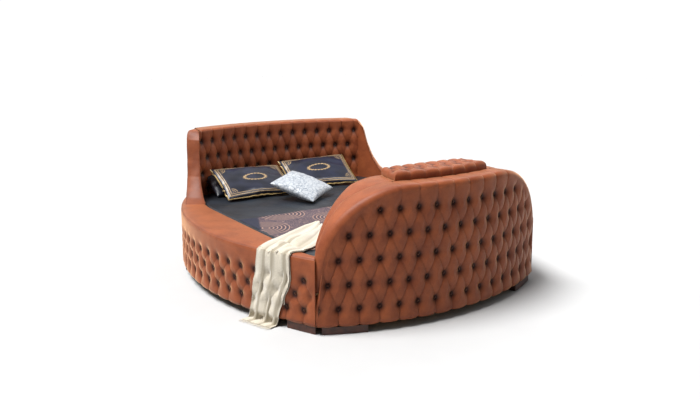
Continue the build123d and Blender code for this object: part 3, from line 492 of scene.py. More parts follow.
def addButtons(name, places, node, body="bed"):
    # One covered button, domed with a pinched rim, modelled once and copied to each seat
    deselectAll()
    segments, rings = buttonShape["segments"], buttonShape["rings"]
    bpy.ops.mesh.primitive_uv_sphere_add(segments=segments, ring_count=rings, radius=1)
    model = bpy.context.active_object
    for vertex in model.data.vertices:
        x, y, z = vertex.co
        rim = 1 - 0.12 * (1 - abs(z))
        wide = buttonShape["radius"] * rim * mm
        vertex.co = (x * wide, y * wide, z * buttonShape["height"] * mm)
    copies = []
    for spot, outward in places:
        copy = addObject(name, model.data.copy())
        turn = Vector(outward).to_track_quat("Z", "Y").to_matrix().to_4x4()
        copy.data.transform(Matrix.Translation(Vector(spot) * mm) @ turn)
        copies.append(copy)
    bpy.data.objects.remove(model)
    pick(*copies)
    bpy.ops.object.join()
    piece = bpy.context.active_object
    piece.name = name
    makeSmooth(piece)
    # Painted shade: the buttons are darkened as if lying in shadow deep in their craters
    store(piece, "foldAndShade", np.full(len(piece.data.vertices), 0.86))
    settle(piece, velvet, body)
    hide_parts(node)


# Footboard: measures in mm and degrees; the rows and pitches are those of its buttons
foot = dict(radius=1855.0, centreY=571.25, endAngle=29.05, top=863.0, flat=370.0, ellipseX=536.7,
            drop=533.0, low=330.0, bottom=47.0, edge=34.0, tuft=34.0, pitch=3.85, rowFirst=150.0,
            rowPitch=144.0,
            innerY=-889.0, lidAngle=12.98, lidDepth=141.0, wall=37.0, straightTo=560.0,
            sweep=(-391578.0, 98.7, 305.8), widest=900.8, capDepth=36.0, capZ=240.0)


def footTop(x):
    past = unit((np.abs(x) - foot["flat"]) / foot["ellipseX"])
    return foot["low"] + foot["drop"] * np.sqrt(1 - past * past)


def footPlace(angle, depth):
    reach = foot["radius"] - depth
    return reach * np.sin(angle), foot["centreY"] - reach * np.cos(angle)


def footInnerDepth(angle):
    turn = np.abs(angle)
    level = (foot["centreY"] - foot["innerY"]) / np.cos(turn)
    over, across, along = foot["sweep"]  # the plan line that runs on to the corner
    swept = over / (across * np.sin(turn) - along * np.cos(turn))
    corner = math.atan2(foot["straightTo"], foot["centreY"] - foot["innerY"])
    return foot["radius"] - np.where(turn < corner, level, swept)


def footOutline():
    endX = foot["radius"] * math.sin(math.radians(foot["endAngle"]))
    lastTurn = math.asin((endX - foot["flat"]) / foot["ellipseX"])
    turns = np.linspace(0, lastTurn, 400)
    x = foot["flat"] + foot["ellipseX"] * np.sin(turns)
    z = foot["low"] + foot["drop"] * np.cos(turns)
    x = np.concatenate([-x[::-1], np.linspace(-foot["flat"], foot["flat"], 200)[1:-1], x])
    z = np.concatenate([z[::-1], np.full(198, foot["top"]), z])
    walk = np.concatenate([[0], np.cumsum(np.hypot(np.diff(x), np.diff(z)))])
    return x, z, walk / walk[-1]


outlineX, outlineZ, outlineS = footOutline()


def footFrame(s):
    x = np.interp(s, outlineS, outlineX)
    z = np.interp(s, outlineS, outlineZ)
    step = 0.002
    dx = np.interp(s + step, outlineS, outlineX) - np.interp(s - step, outlineS, outlineX)
    dz = np.interp(s + step, outlineS, outlineZ) - np.interp(s - step, outlineS, outlineZ)
    size = np.hypot(dx, dz)
    return x, z, -dz / size, dx / size


def footBandDepth(angle):
    return np.minimum(foot["lidDepth"], 0.6 * footInnerDepth(angle))


def footBase(s, t):
    # t: 0 to 1 the front, to 2 over the edge, to 3 along the rim, to 4 down into the lid's gap
    cap = np.clip(np.abs(2 * s - 1) - 1, 0, 2) / 2
    s = unit(s)
    x, z, nx, nz = footFrame(s)
    edge = foot["edge"]
    lowX = foot["radius"] * np.sin(np.radians(foot["endAngle"]) * (2 * s - 1))
    front = unit(t)
    turn = unit(t - 1) * math.pi / 2
    rimX = lowX + (x - edge * nx - lowX) * front + edge * np.sin(turn) * nx
    rimZ = foot["bottom"] + (z - edge * nz - foot["bottom"]) * front + edge * np.sin(turn) * nz
    rimX = np.clip(rimX, -foot["widest"], foot["widest"])
    angle = np.arcsin(rimX / foot["radius"])
    depth = edge * (1 - np.cos(turn)) + (footBandDepth(angle) - edge) * unit(t - 2)
    px, py = footPlace(angle, depth)
    lift = np.where(t > 1, footTop(px) - footTop(rimX), 0)
    sink = foot["wall"] * unit(t - 3)
    curl = 14 * unit(1 - t * 24) ** 2  # the cloth turns under the bottom edge
    shrink = 1 - 0.96 * cap
    depth = foot["capDepth"] + (depth + curl - foot["capDepth"]) * shrink
    angle = angle + np.sign(angle) * np.radians(0.24) * (cap > 0)
    px2, py2 = footPlace(angle, depth)
    return px2, py2, foot["capZ"] + (rimZ + lift - sink - foot["capZ"]) * shrink


def footPuff(s, t, points):
    inside = (s >= 0) & (s <= 1)
    x = points[..., 0]
    angle = np.arctan2(x, foot["centreY"] - points[..., 1])
    k = np.degrees(angle) / (foot["pitch"] / 2)
    q = (points[..., 2] - foot["rowFirst"]) / foot["rowPitch"]
    q = np.where(t > 1, 4.3 + (t - 1) * 0.2, q)
    height = tuftHeight(k, q, 4, 1, 61.1, foot["rowPitch"])
    ox, oz, nx, nz = footFrame(unit(s))
    gap = np.where(t < 1, np.hypot(ox - x, oz - points[..., 2]), 0)
    middle = smoothStep((470 - np.abs(x)) / 90)
    nearEdge = smoothStep((gap - 26) / 70)
    onRim = np.where(t < 2, 1 - 0.35 * (t - 1), 0.65 * (1 - 0.45 * unit(t - 2)))
    deep = foot["tuft"] * np.where(t < 1, 1.0, onRim)
    share = middle + (1 - middle) * nearEdge
    low = deep * share * (1 - height)
    seam = 4.0 * np.exp(-((gap - 30) / 4) ** 2) * (1 - middle) * (t < 1)
    swell = 4.0 * np.sin(np.clip(t - 1, 0, 2) / 2 * math.pi) * (t > 1) * (t < 3)
    ends = np.clip(np.minimum(s, 1 - s) * 40, 0.3, 1)
    # Painted shade: darker in the creases and button craters, and along the sunk seam near the ends
    dark = unit(1 - height) * share * (t < 3) * 0.9 + seam * 0.15
    return (swell - (low + seam) * ends) * inside, dark * inside


def buildFootboard():
    front = shapeGrid("footboardTufting", velvet, lineUp((-1, 0, 3), (0, 1, 440), (1, 2, 3)),
                      lineUp((0, 0.05, 12), (0.05, 1, 165), (1, 2, 10), (2, 3, 20), (3, 4, 5)), footBase,
                      footPuff)
    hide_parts("footboard_facing", "footboard_rim_pad")

    def flankBase(u, v):
        # The plain top between the tufted band and the inner face, beside the lid
        angle = np.radians(foot["lidAngle"] + (foot["endAngle"] - foot["lidAngle"]) * unit(u))
        near = footBandDepth(angle)
        far = footInnerDepth(angle)
        roll = unit(v - 1) * math.pi / 2
        edge = np.minimum(14, (far - near) * 0.5)
        depth = near + (far - edge - near) * unit(v) + edge * np.sin(roll)
        px, py = footPlace(angle, depth)
        down = edge * (1 - np.cos(roll)) + 60 * unit(v - 2) + foot["wall"] * unit(-u)
        return px, py, footTop(px) - down

    def flankPuff(u, v, points):
        return 4.0 * np.sin(unit(u) * math.pi) * np.sin(unit(v) * math.pi), np.zeros_like(u)

    for side, word in ((-1, "Left"), (1, "Right")):
        flank = shapeGrid("footboardRim" + word, velvet, lineUp((-1, 0, 4), (0, 1, 60)),
                          lineUp((0, 1, 24), (1, 2, 6), (2, 3, 4)),
                          mirrored(flankBase, side), flankPuff, flip=side < 0)

    def innerBase(u, v):
        angle = np.radians(foot["endAngle"]) * (2 * u - 1)
        px, py = footPlace(angle, footInnerDepth(angle))
        high = footTop(px) - 20
        return px, py + 1.0, foot["bottom"] + (high - foot["bottom"]) * v

    def innerPuff(u, v, points):
        seams = np.exp(-((np.abs(points[..., 0]) - 560) / 5) ** 2)
        # Painted shade along the sunk seams
        return -3.0 * seams + 0 * u, seams * 0.5

    inner = shapeGrid("footboardLining", velvet, evenly(120), evenly(30), innerBase, innerPuff, flip=True)
    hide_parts("footboard_inner_pad")

    places = []
    for row, k in buttonGrid([(-far, far) for far in (13, 14, 13, 12, 9)], odd=1):
        angle = math.radians(k * foot["pitch"] / 2)
        x, y = footPlace(angle, foot["tuft"] - 2)
        spot = (float(x), float(y), foot["rowFirst"] + row * foot["rowPitch"])
        places.append((spot, (math.sin(angle), -math.cos(angle), 0)))
    addButtons("footboardButtons", places, "footboard_buttons")


lid = dict(front=1705.0, halfAngle=12.7, rearY=-893.0, bottom=827.0, crown=919.0, edge=34.0, tuft=26.0,
           rowRadius=1555.0,
           rowPitch=78.0, pitches=7)


def rollOver(t, edge, drop):
    # Past 1 the surface turns over a rounded edge and runs down; returns how far in and how far down
    past = unit(np.abs(t) - 1)
    turn = unit(past * 2) * math.pi / 2
    return edge * (1 - np.sin(turn)), edge * (1 - np.cos(turn)) + (drop - edge) * unit(past * 2 - 1)


def lidBase(u, v):
    drop = lid["crown"] - lid["bottom"]
    inU, downU = rollOver(u, lid["edge"], drop)
    inV, downV = rollOver(v, lid["edge"], drop)
    endIn = np.where(np.abs(v) > 1, inV, lid["edge"])
    halfWide = lid["front"] * math.radians(lid["halfAngle"])
    inward = 1 - np.where(np.abs(u) > 1, inU, lid["edge"]) / halfWide
    angle = np.radians(lid["halfAngle"]) * np.clip(u, -1, 1) * inward
    rear = (foot["centreY"] - lid["rearY"]) / np.cos(angle) + endIn
    front = lid["front"] - endIn
    share = (np.clip(v, -1, 1) + 1) / 2
    reach = rear + (front - rear) * share
    return reach * np.sin(angle), foot["centreY"] - reach * np.cos(angle), lid["crown"] - np.maximum(downU,
                                                                                                     downV)


def lidPuff(u, v, points):
    reach = np.hypot(points[..., 0], points[..., 1] - foot["centreY"])
    angle = np.arctan2(points[..., 0], foot["centreY"] - points[..., 1])
    k = np.degrees(angle) / (lid["halfAngle"] / lid["pitches"])
    q = (reach - lid["rowRadius"]) / lid["rowPitch"]
    height = tuftHeight(k, q, 1, 0, 52.0, lid["rowPitch"])
    down = lid["crown"] - points[..., 2]
    fade = 1 - 0.8 * smoothStep(down / 60)
    sides = smoothStep((1.6 - np.abs(u)) / 0.6)
    # Painted shade in the creases and button craters
    return -lid["tuft"] * (1 - height) * fade * sides, (1 - height) * fade * sides


def buildLid():
    pad = shapeGrid("lidCushion", velvet, lineUp((-2, -1, 14), (-1, 1, 190), (1, 2, 14)),
                    lineUp((-2, -1, 14), (-1, 1, 60), (1, 2, 14)),
                    lidBase, lidPuff, flip=True, body="lift_top")
    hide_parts("lid_pad")
    places = []
    step = 2 * lid["halfAngle"] / lid["pitches"]
    last = lid["pitches"] - 1
    for row, k in buttonGrid([(-last, last)] * 2):
        angle = math.radians(k * step / 2)
        reach = lid["rowRadius"] + row * lid["rowPitch"]
        x, y = reach * math.sin(angle), foot["centreY"] - reach * math.cos(angle)
        places.append(((x, y, lid["crown"] - lid["tuft"] + 2), (0, 0, 1)))
    addButtons("lidButtons", places, "lid_buttons", "lift_top")


buildFootboard()
buildLid()
print("footboard and lid built")

# Side rails: three arcs in plan, from the footboard joint to the headboard
rail = dict(half=1176.0, widestY=-27.0, midRadius=1830.0, midReach=560.0, frontRadius=3070.0, rearRadius=1956.0,
            seat=24.0,
            pitch=126.0, firstWalk=-470.0, rowFirst=133.0, rowPitch=90.0, bottom=47.0, seam=450.0, top=462.0,
            side=887.5,
            turnY=420.0, innerRadius=1300.0, innerX=412.5, joint=5.0, headRadius=2050.0, headY=-766.0, lip=4.0,
            drop=34.0, capZ=250.0)


def railPlace(walk, depth):
    walk = np.asarray(walk, dtype=float)
    midTurn = rail["midReach"] / rail["midRadius"]
    shift = rail["frontRadius"] - rail["midRadius"]
    rear = walk >= 0
    mid = (walk < 0) & (walk >= -rail["midReach"])
    radius = np.where(rear, rail["rearRadius"], np.where(mid, rail["midRadius"], rail["frontRadius"]))
    farther = np.where(mid, 0, shift * math.cos(midTurn))
    centreX = np.where(rear, rail["rearRadius"], rail["midRadius"] + farther) - rail["half"]
    centreY = rail["widestY"] + np.where(rear | mid, 0, shift * math.sin(midTurn))
    frontTurn = -(midTurn + (-walk - rail["midReach"]) / rail["frontRadius"])
    turn = np.where(rear, walk / rail["rearRadius"], np.where(mid, walk / rail["midRadius"], frontTurn))
    reach = radius - depth
    return centreX - reach * np.cos(turn), centreY + reach * np.sin(turn)


def solveWalk(low, high, test):
    # Bisection for the walk at which test changes sign
    for n in range(50):
        middle = (low + high) / 2
        if (test(low) > 0) == (test(middle) > 0):
            low = middle
        else:
            high = middle
    return (low + high) / 2


jointTurn = math.radians(foot["endAngle"])
jointAway = np.array([-math.cos(jointTurn), math.sin(jointTurn)])


def jointSide(walk, depth):
    x, y = railPlace(walk, depth)
    outX, outY = jointAway
    return float((x - outX * rail["joint"]) * outX + (y - foot["centreY"] - outY * rail["joint"]) * outY)


def headSide(walk, depth):
    x, y = railPlace(walk, depth)
    return float(math.hypot(x, y - rail["headY"]) - rail["headRadius"])


railStart = [solveWalk(-1400, -700, lambda w, d=d: jointSide(w, d)) for d in (0, 40)]
railStop = [solveWalk(400, 1500, lambda w, d=d: headSide(w, d)) for d in (0, 40)]


def railWalk(u, depth):
    share = depth / 40
    start = railStart[0] + (railStart[1] - railStart[0]) * share
    stop = railStop[0] + (railStop[1] - railStop[0]) * share
    return start + (stop - start) * unit(u)


def railInnerLine():
    # The mattress side, from the footboard joint to the headboard's back
    tipX, tipY = footPlace(-jointTurn, 72)
    points = [(float(tipX) + jointAway[0] * rail["joint"], float(tipY) + jointAway[1] * rail["joint"]),
              (-rail["side"], foot["innerY"]), (-rail["side"], rail["turnY"])]
    for turn in np.linspace(0, 0.9, 200)[1:]:
        x = rail["innerX"] - rail["innerRadius"] * math.cos(turn)
        y = rail["turnY"] + rail["innerRadius"] * math.sin(turn)
        points.append((x, y))
        if math.hypot(x, y - rail["headY"]) > rail["headRadius"]:
            break
    points = np.array(points)
    walk = np.concatenate([[0], np.cumsum(np.hypot(*np.diff(points, axis=0).T))])
    return points, walk


innerPoints, innerWalk = railInnerLine()


def railInner(u):
    # The inner point that lies square across from each outer one, eased to both ends
    flat = np.unique(u)
    ox, oy = railPlace(railWalk(flat, 0), 0)
    spread = np.linspace(0, innerWalk[-1], 1500)
    lx = np.interp(spread, innerWalk, innerPoints[:, 0])
    ly = np.interp(spread, innerWalk, innerPoints[:, 1])
    near = np.array([spread[np.argmin(np.hypot(lx - x, ly - y))] for x, y in zip(ox, oy)])
    near = (near - near[0]) / (near[-1] - near[0]) * innerWalk[-1]
    walk = np.interp(u, flat, near)
    return np.interp(walk, innerWalk, innerPoints[:, 0]), np.interp(walk, innerWalk, innerPoints[:, 1])


def railBase(u, t):
    # t: 0 to 1 the front, 1 to 2 into the seam, 2 to 3 across the padded top, 3 to 4 down beside the mattress
    depth = np.where(t < 1, 14 * unit(1 - t * 16) ** 2, 0) + 8 * unit(t - 1)
    ox, oy = railPlace(railWalk(u, depth), depth)
    ix, iy = railInner(u)
    cross = unit(t - 2)
    px = ox + (ix - ox) * cross
    py = oy + (iy - oy) * cross
    wide = np.hypot(ix - ox, iy - oy)
    near = cross * wide
    far = (1 - cross) * wide
    rise = np.minimum(roundShare(unit(near / 30)), roundShare(unit(far / 26)))
    start = rail["seam"] + rail["lip"]
    z = rail["bottom"] + (rail["seam"] - rail["bottom"]) * unit(t) + rail["lip"] * unit(t - 1)
    over = start + (rail["top"] - start) * rise - 5 * (1 - rise) * unit(cross * 8 - 7)
    z = np.where(t > 2, over, z) - rail["drop"] * unit(t - 3)
    cap = np.where(u < 0, -u, np.where(u > 1, u - 1, 0))
    midX, midY = (ox + ix) / 2, (oy + iy) / 2
    shrink = 1 - 0.96 * cap ** 0.7
    return midX + (px - midX) * shrink, midY + (py - midY) * shrink, rail["capZ"] + (z - rail["capZ"]) * shrink


def railPuff(u, t, points):
    walk = railWalk(u, 0)
    k = (walk - rail["firstWalk"]) / (rail["pitch"] / 2)
    q = (points[..., 2] - rail["rowFirst"]) / rail["rowPitch"]
    height = tuftHeight(k, q, 2, 0, 63.0, rail["rowPitch"], plainAbove=True)
    ends = smoothStep(np.minimum(walk - railStart[0], railStop[0] - walk) / 60)
    front = (t < 1) * (u >= 0) * (u <= 1)
    low = rail["seat"] * (1 - height) * ends * front
    edge = 3.0 * smoothStep((rail["seam"] - points[..., 2]) / 20) * front
    crown = 5.0 * np.sin(unit(t - 2) * math.pi) * (t > 2) * (t < 3)
    seam = np.exp(-((t - 1.6) / 0.5) ** 2) * (t < 2.6)
    # Painted shade in the creases and button craters of the front, and along the seam under the padded top
    return edge + crown - low - 2, unit((1 - height) * ends * front + 0.5 * seam * (t > 0.97))


def buildRails():
    for side, word in ((1, "left"), (-1, "right")):
        # seen from outside the left rail runs backwards, so its grid is turned over
        pad = shapeGrid("railPad" + word.capitalize(), velvet, lineUp((-1, 0, 4), (0, 1, 460), (1, 2, 4)),
                        lineUp((0, 0.06, 6), (0.06, 1, 76), (1, 2, 3), (2, 2.2, 12), (2.2, 2.8, 12),
                               (2.8, 3, 10), (3, 4, 3)),
                        mirrored(railBase, side), railPuff, flip=side > 0)
        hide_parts("rail_facing_" + word, "rail_top_pad_" + word)
        places = []
        for row, k in buttonGrid([(-9, 26)] * 3):
            walk = rail["firstWalk"] + k * rail["pitch"] / 2
            x, y = railPlace(walk, rail["seat"] - 1)
            ox, oy = railPlace(walk, 0)
            spot = (side * float(x), float(y), rail["rowFirst"] + row * rail["rowPitch"])
            places.append((spot, (side * float(ox - x), float(oy - y), 0)))
        addButtons("railButtons" + word.capitalize(), places, "rail_buttons_" + word)


buildRails()
print("rails built")

# Headboard: a tufted arc whose centre lies near the foot end
head = dict(front=1884.0, back=2050.0, seat=1920.0, halfAngle=24.4, top=985.0, bottom=425.0, edge=24.0,
            pitch=118.2, rowFirst=491.4,
            rowPitch=132.2, tuft=34.0, flare=3.1, topFlare=0.3, backAngle=21.6)


def headPlace(angle, reach):
    return reach * np.sin(angle), rail["headY"] + reach * np.cos(angle)


def headHalfAngle(z, reach):
    # Narrower towards the back, and a little at the very top
    back = (reach - head["front"]) / (head["back"] - head["front"])
    return np.radians(head["halfAngle"] - head["flare"] * back - head["topFlare"] * smoothStep((z - 850) / 100))


def headBase(u, t):
    edge = head["edge"]
    over = unit(t - 1) * math.pi / 2
    back = unit(t - 3) * math.pi / 2
    flatRun = head["back"] - head["front"] - 2 * edge
    reach = head["front"] + edge * (1 - np.cos(over)) + flatRun * unit(t - 2) + edge * np.sin(back)
    z = head["bottom"] + (head["top"] - edge - head["bottom"]) * unit(t)
    z = z + edge * np.sin(over) - edge * (1 - np.cos(back))
    angle = headHalfAngle(z, reach) * (2 * u - 1)
    return *headPlace(angle, reach), z


def headPuff(u, t, points):
    angle = np.arctan2(points[..., 0], points[..., 1] - rail["headY"])
    k = angle * head["seat"] / (head["pitch"] / 2)
    q = (points[..., 2] - head["rowFirst"]) / head["rowPitch"]
    q = np.where(t > 1, 3.7 + (t - 1) * 0.2, q)
    height = tuftHeight(k, q, 3, 0, 59.1, head["rowPitch"])
    onTop = np.where(t < 2, 1 - 0.4 * (t - 1), 0.6 * (1 - unit(t - 2)) ** 1.5)
    fade = np.where(t < 1, 1, onTop)
    swell = 4.0 * np.sin(np.clip(t - 1, 0, 3) / 3 * math.pi) * (t > 1)
    # Painted shade in the creases and button craters
    return swell - head["tuft"] * (1 - height) * fade, (1 - height) * fade


# Wings: how far forward the inner and outer face come at each level; rear is where both end
wing = dict(levels=(440, 462, 500, 560, 640, 757, 860, 913, 950, 985), innerY=(600, 610, 665, 735, 800, 850,
                                                                               880, 897, 935, 985),
            outerY=(655, 668, 760, 830, 893, 951, 984, 1001, 1026, 1058), setIn=34.0, round=24.0, top=983.0,
            bottom=445.0, clear=16.0, rear=(1080.0, 1143.0), noseReach=(34, 40), spread=(-24, -8),
            spreadFrom=520.0, spreadOver=430.0)


def wingArc(radius, centreX, centreY, y):
    return centreX - np.sqrt(np.maximum(radius * radius - (y - centreY) ** 2, 0))


def wingInner(y):
    return wingArc(rail["innerRadius"], rail["innerX"], rail["turnY"], y)


def wingOuter(y):
    return wingArc(rail["rearRadius"] - wing["setIn"], rail["rearRadius"] - rail["half"], rail["widestY"], y)


def wingBase(u, t):
    # u: 0 to 1 the inner face, to 2 the rounded leading edge, to 3 the outer face; t past 1 closes the top
    z = wing["bottom"] + (wing["top"] - wing["round"] - wing["bottom"]) * unit(t)
    turn = unit(t - 1) * math.pi / 2
    rise = wing["round"] * np.sin(turn)
    level = z + rise
    innerY = np.interp(level, wing["levels"], wing["innerY"]) + wing["clear"]
    outerY = np.interp(level, wing["levels"], wing["outerY"]) + wing["clear"]
    innerShare = unit(u)
    outerShare = unit(3 - u)
    rearIn, rearOut = wing["rear"]
    yIn = rearIn + (np.minimum(innerY, rearIn - 2) - rearIn) * innerShare
    yOut = rearOut + (np.minimum(outerY, rearOut - 2) - rearOut) * outerShare
    # the outer face leans out towards the top, and the nose between a and d gets flatter
    lean = smoothStep((level - wing["spreadFrom"]) / wing["spreadOver"])
    a = np.stack([wingInner(innerY), innerY], -1)
    d = np.stack([wingOuter(outerY), outerY], -1) + np.array(wing["spread"]) * lean[..., None]
    xIn = wingInner(yIn)
    xOut = wingOuter(yOut) + wing["spread"][0] * lean * outerShare
    yOut = yOut + wing["spread"][1] * lean * outerShare
    forward = np.array([-0.25, -1.0]) * (1 - 0.55 * lean[..., None])
    b = a + forward * wing["noseReach"][0]
    c = d + forward * wing["noseReach"][1]
    s = unit(u - 1)[..., None]
    nose = a * (1 - s) ** 3 + 3 * b * s * (1 - s) ** 2 + 3 * c * s * s * (1 - s) + d * s ** 3
    x = np.where(u <= 1, xIn, np.where(u >= 2, xOut, nose[..., 0]))
    y = np.where(u <= 1, yIn, np.where(u >= 2, yOut, nose[..., 1]))
    share = np.where(u <= 1, innerShare, np.where(u >= 2, outerShare, 1))
    rootX, rootY = (wingInner(rearIn) + wingOuter(rearOut)) / 2, (rearIn + rearOut) / 2
    midX = rootX + ((a + d)[..., 0] / 2 - rootX) * share
    midY = rootY + ((a + d)[..., 1] / 2 - rootY) * share
    half = np.maximum(np.hypot(x - midX, y - midY), 1)
    pull = np.clip(1 - wing["round"] * (1 - np.cos(turn)) / half, 0.05, 1) * (1 - 0.97 * unit(t - 2))
    x, y = midX + (x - midX) * pull, midY + (y - midY) * pull
    out = np.hypot(x, y - rail["headY"])
    keep = np.minimum(1, (rail["headRadius"] - 1) / out)
    return x * keep, rail["headY"] + (y - rail["headY"]) * keep, z + rise


def wingPuff(u, t, points):
    swell = 5.0 * np.sin(unit(u / 3) * math.pi) * np.sin(unit(t) * math.pi * 0.9 + 0.2)
    seam = np.exp(-((u - 1.97) / 0.05) ** 2) + np.exp(-((u - 1.03) / 0.05) ** 2)
    ripple = 1.2 * np.sin(points[..., 2] / 23 + points[..., 1] / 40) * np.exp(-((u - 1.5) / 0.5) ** 2)
    # Painted shade along the sunk seams and down the rounded leading edge
    dark = seam * 0.4 * (t < 1.2) + 0.36 * np.exp(-((u - 1.5) / 0.55) ** 4) * (t < 1.5)
    return swell + ripple - 2.0 * seam * (t < 1), dark


def buildHeadboard():
    front = shapeGrid("headboardTufting", velvet, evenly(380), lineUp((0, 1, 112), (1, 2, 9), (2, 3, 16),
                                                                      (3, 4, 6)),
                      headBase, headPuff)
    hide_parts("headboard_tufted_pad", "headboard_top_pad")
    places = []
    for row, k in buttonGrid([(-12, 12)] * 4):
        angle = k * head["pitch"] / 2 / head["seat"]
        x, y = headPlace(angle, head["front"] + head["tuft"] - 1)
        spot = (float(x), float(y), head["rowFirst"] + row * head["rowPitch"])
        places.append((spot, (-math.sin(angle), -math.cos(angle), 0)))
    addButtons("headboardButtons", places, "headboard_buttons")

    for side, word in ((1, "left"), (-1, "right")):
        pad = shapeGrid("wingPad" + word.capitalize(), velvet, lineUp((0, 1, 50), (1, 2, 22), (2, 3, 50)),
                        lineUp((0, 1, 90), (1, 2, 8), (2, 3, 6)),
                        mirrored(wingBase, side), wingPuff, flip=side < 0)
        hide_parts("wing_pad_" + word)

    def backBase(u, v):
        angle = np.radians(head["backAngle"]) * (2 * u - 1)
        low, high = rail["bottom"], head["top"] - head["edge"]
        return *headPlace(angle, rail["headRadius"] + 1), low + (high - low) * v

    def backPuff(u, v, points):
        seams = sum(np.exp(-((points[..., 0] - x) / 5) ** 2) for x in (-420, 420))
        # Painted shade along the sunk seams
        return 3.0 * np.sin(v * math.pi) - 3.0 * seams, seams * 0.5

    back = shapeGrid("headboardBack", velvet, evenly(160), evenly(60), backBase, backPuff, flip=True)


buildHeadboard()
print("headboard built")

# Mattress and the sheets on it
bed = dict(side=885.0, footY=-886.5, topZ=446.5, lowZ=198.5, coverZ=455.5, headRadius=1881.5,
           innerRadius=1297.5, pillowReach=1882.0)


def bedPlan(u, v, inset=0.0):
    # u across from -1 to 1, v from the foot to the headboard
    side = bed["side"] - inset
    rear = rail["headY"] + np.sqrt((bed["headRadius"] - inset) ** 2 - (u * 775) ** 2)
    first = bed["footY"] + inset - np.maximum(np.abs(u) * side - 565, 0) * 0.30
    y = first + (rear - first) * v
    past = np.maximum(y - rail["turnY"], 0)
    curve = np.sqrt(np.maximum((bed["innerRadius"] - inset) ** 2 - past * past, 0)) - rail["innerX"]
    nose = np.maximum(bed["footY"] - y, 0) * 0.22
    return u * (np.minimum(side, curve) - nose), y


def buildBedBase():
    def mattressBase(u, v):
        # round the sides, then closed on the top and the bottom
        turn = u * 2 * math.pi
        box = np.maximum(np.abs(np.cos(turn)), np.abs(np.sin(turn)))
        a, b = np.cos(turn) / box, np.sin(turn) / box
        close = 1 - 0.97 * unit(np.abs(v - 0.5) * 4 - 1) ** 1.2
        x, y = bedPlan(a * 0.99, (b * 0.985 + 1) / 2, 2.0)
        low = unit((v - 0.25) * 2)
        return x * close, 100 + (y - 100) * close, bed["lowZ"] + (bed["topZ"] - bed["lowZ"]) * low

    def mattressPuff(u, v, points):
        pipe = np.exp(-((v - 0.28) / 0.02) ** 2) + np.exp(-((v - 0.72) / 0.02) ** 2)
        return -1.5 + 1.2 * pipe, np.zeros_like(u)

    mattress = shapeGrid("mattressCore", ticking, evenly(160),
                         lineUp((0, 0.25, 6), (0.25, 0.75, 40), (0.75, 1, 6)),
                         mattressBase, mattressPuff)
    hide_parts("mattress")

    def coverBase(u, v):
        x, y = bedPlan(u, v)
        edge = np.maximum(np.abs(u), 2 * np.abs(v - 0.5))
        z = bed["coverZ"] - 22 * unit((edge - 0.985) / 0.015) ** 2
        wrinkle = 2.6 * np.sin(x / 64 + 2.1 * np.sin(y / 143)) * np.sin(y / 97 + x / 210)
        wrinkle = wrinkle + 1.6 * np.sin((x + 0.8 * y) / 31) * np.sin(y / 133)
        return x, y, z + np.minimum(wrinkle, 2.6) * unit((1 - edge) * 12)

    cover = shapeGrid("bedCoverCloth", slateSatin, evenly(220, -1), evenly(220), coverBase)
    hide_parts("bed_cover")

    def runnerBase(u, v):
        x = u * 868
        y = -870 + 902 * v
        wave = 1.6 * np.sin(x / 71 + y / 160) * np.sin(y / 88) + 1.2 * np.sin((x - y) / 37)
        edge = np.maximum(np.abs(u), 2 * np.abs(v - 0.5))
        return x, y, 460.5 + wave - 3.5 * unit((edge - 0.97) / 0.03)

    runner = shapeGrid("bedRunnerCloth", runnerCloth, evenly(160, -1), evenly(90), runnerBase)
    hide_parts("bed_runner")
    spots = spotsOf(runner) / mm
    # panel is 1 on the patterned ground and 0 on the plain border, whose left edge runs askew
    leftEdge = -724 - (31 - spots[:, 1]) * 0.4267
    inLeft = unit((spots[:, 0] - leftEdge) / 8 + 0.5)
    inRight = unit((858 - spots[:, 0]) / 8)
    inHead = unit((26 - spots[:, 1]) / 8)
    store(runner, "panel", inLeft * inRight * inHead)


# Pillows: size and place in mm, turn in degrees
pillows = {name: dict(zip(("node", "kind", "size", "place", "turn"), row)) for name, row in {
    "shamLeft": ("sham_left", "sham", (610, 395, 110), (-400, 750, 564), (28, 2, 0)),
    "shamRight": ("sham_right", "sham", (610, 395, 110), (270, 850, 564), (30, -3, -8)),
    "backPillowLeft": ("back_pillow_left", "plain", (640, 310, 108), (-400, 940, 534), (25, 0, 4)),
    "backPillowRight": ("back_pillow_right", "plain", (640, 310, 108), (300, 994, 492), (25, 0, -4)),
    "laceCushion": ("lace_cushion", "lace", (405, 390, 116), (-130, 435, 550), (18, -5, 37))}.items()}
pillowLooks = {
    "sham": (shamCloth, "navy_satin"), "plain": (navySatin, "navy_satin"), "lace": (laceCloth, "gold_cloth")}


def pillowMatrix(row):
    tilt, roll, yaw = [math.radians(a) for a in row["turn"]]
    turn = Matrix.Rotation(yaw, 4, "Z") @ Matrix.Rotation(tilt, 4, "X") @ Matrix.Rotation(roll, 4, "Y")
    return Matrix.Translation(Vector(row["place"]) * mm) @ turn


def fitBox(spots, size):
    low, high = spots.min(0), spots.max(0)
    return (spots - (low + high) / 2) / (high - low) * np.array(size) * mm


stuffing = dict(grid=(56, 40), frames=22, cloth=dict(
    quality=6, mass=0.25, tension_stiffness=18, compression_stiffness=18, bending_stiffness=0.4,
    use_pressure=True, uniform_pressure_force=0.9))


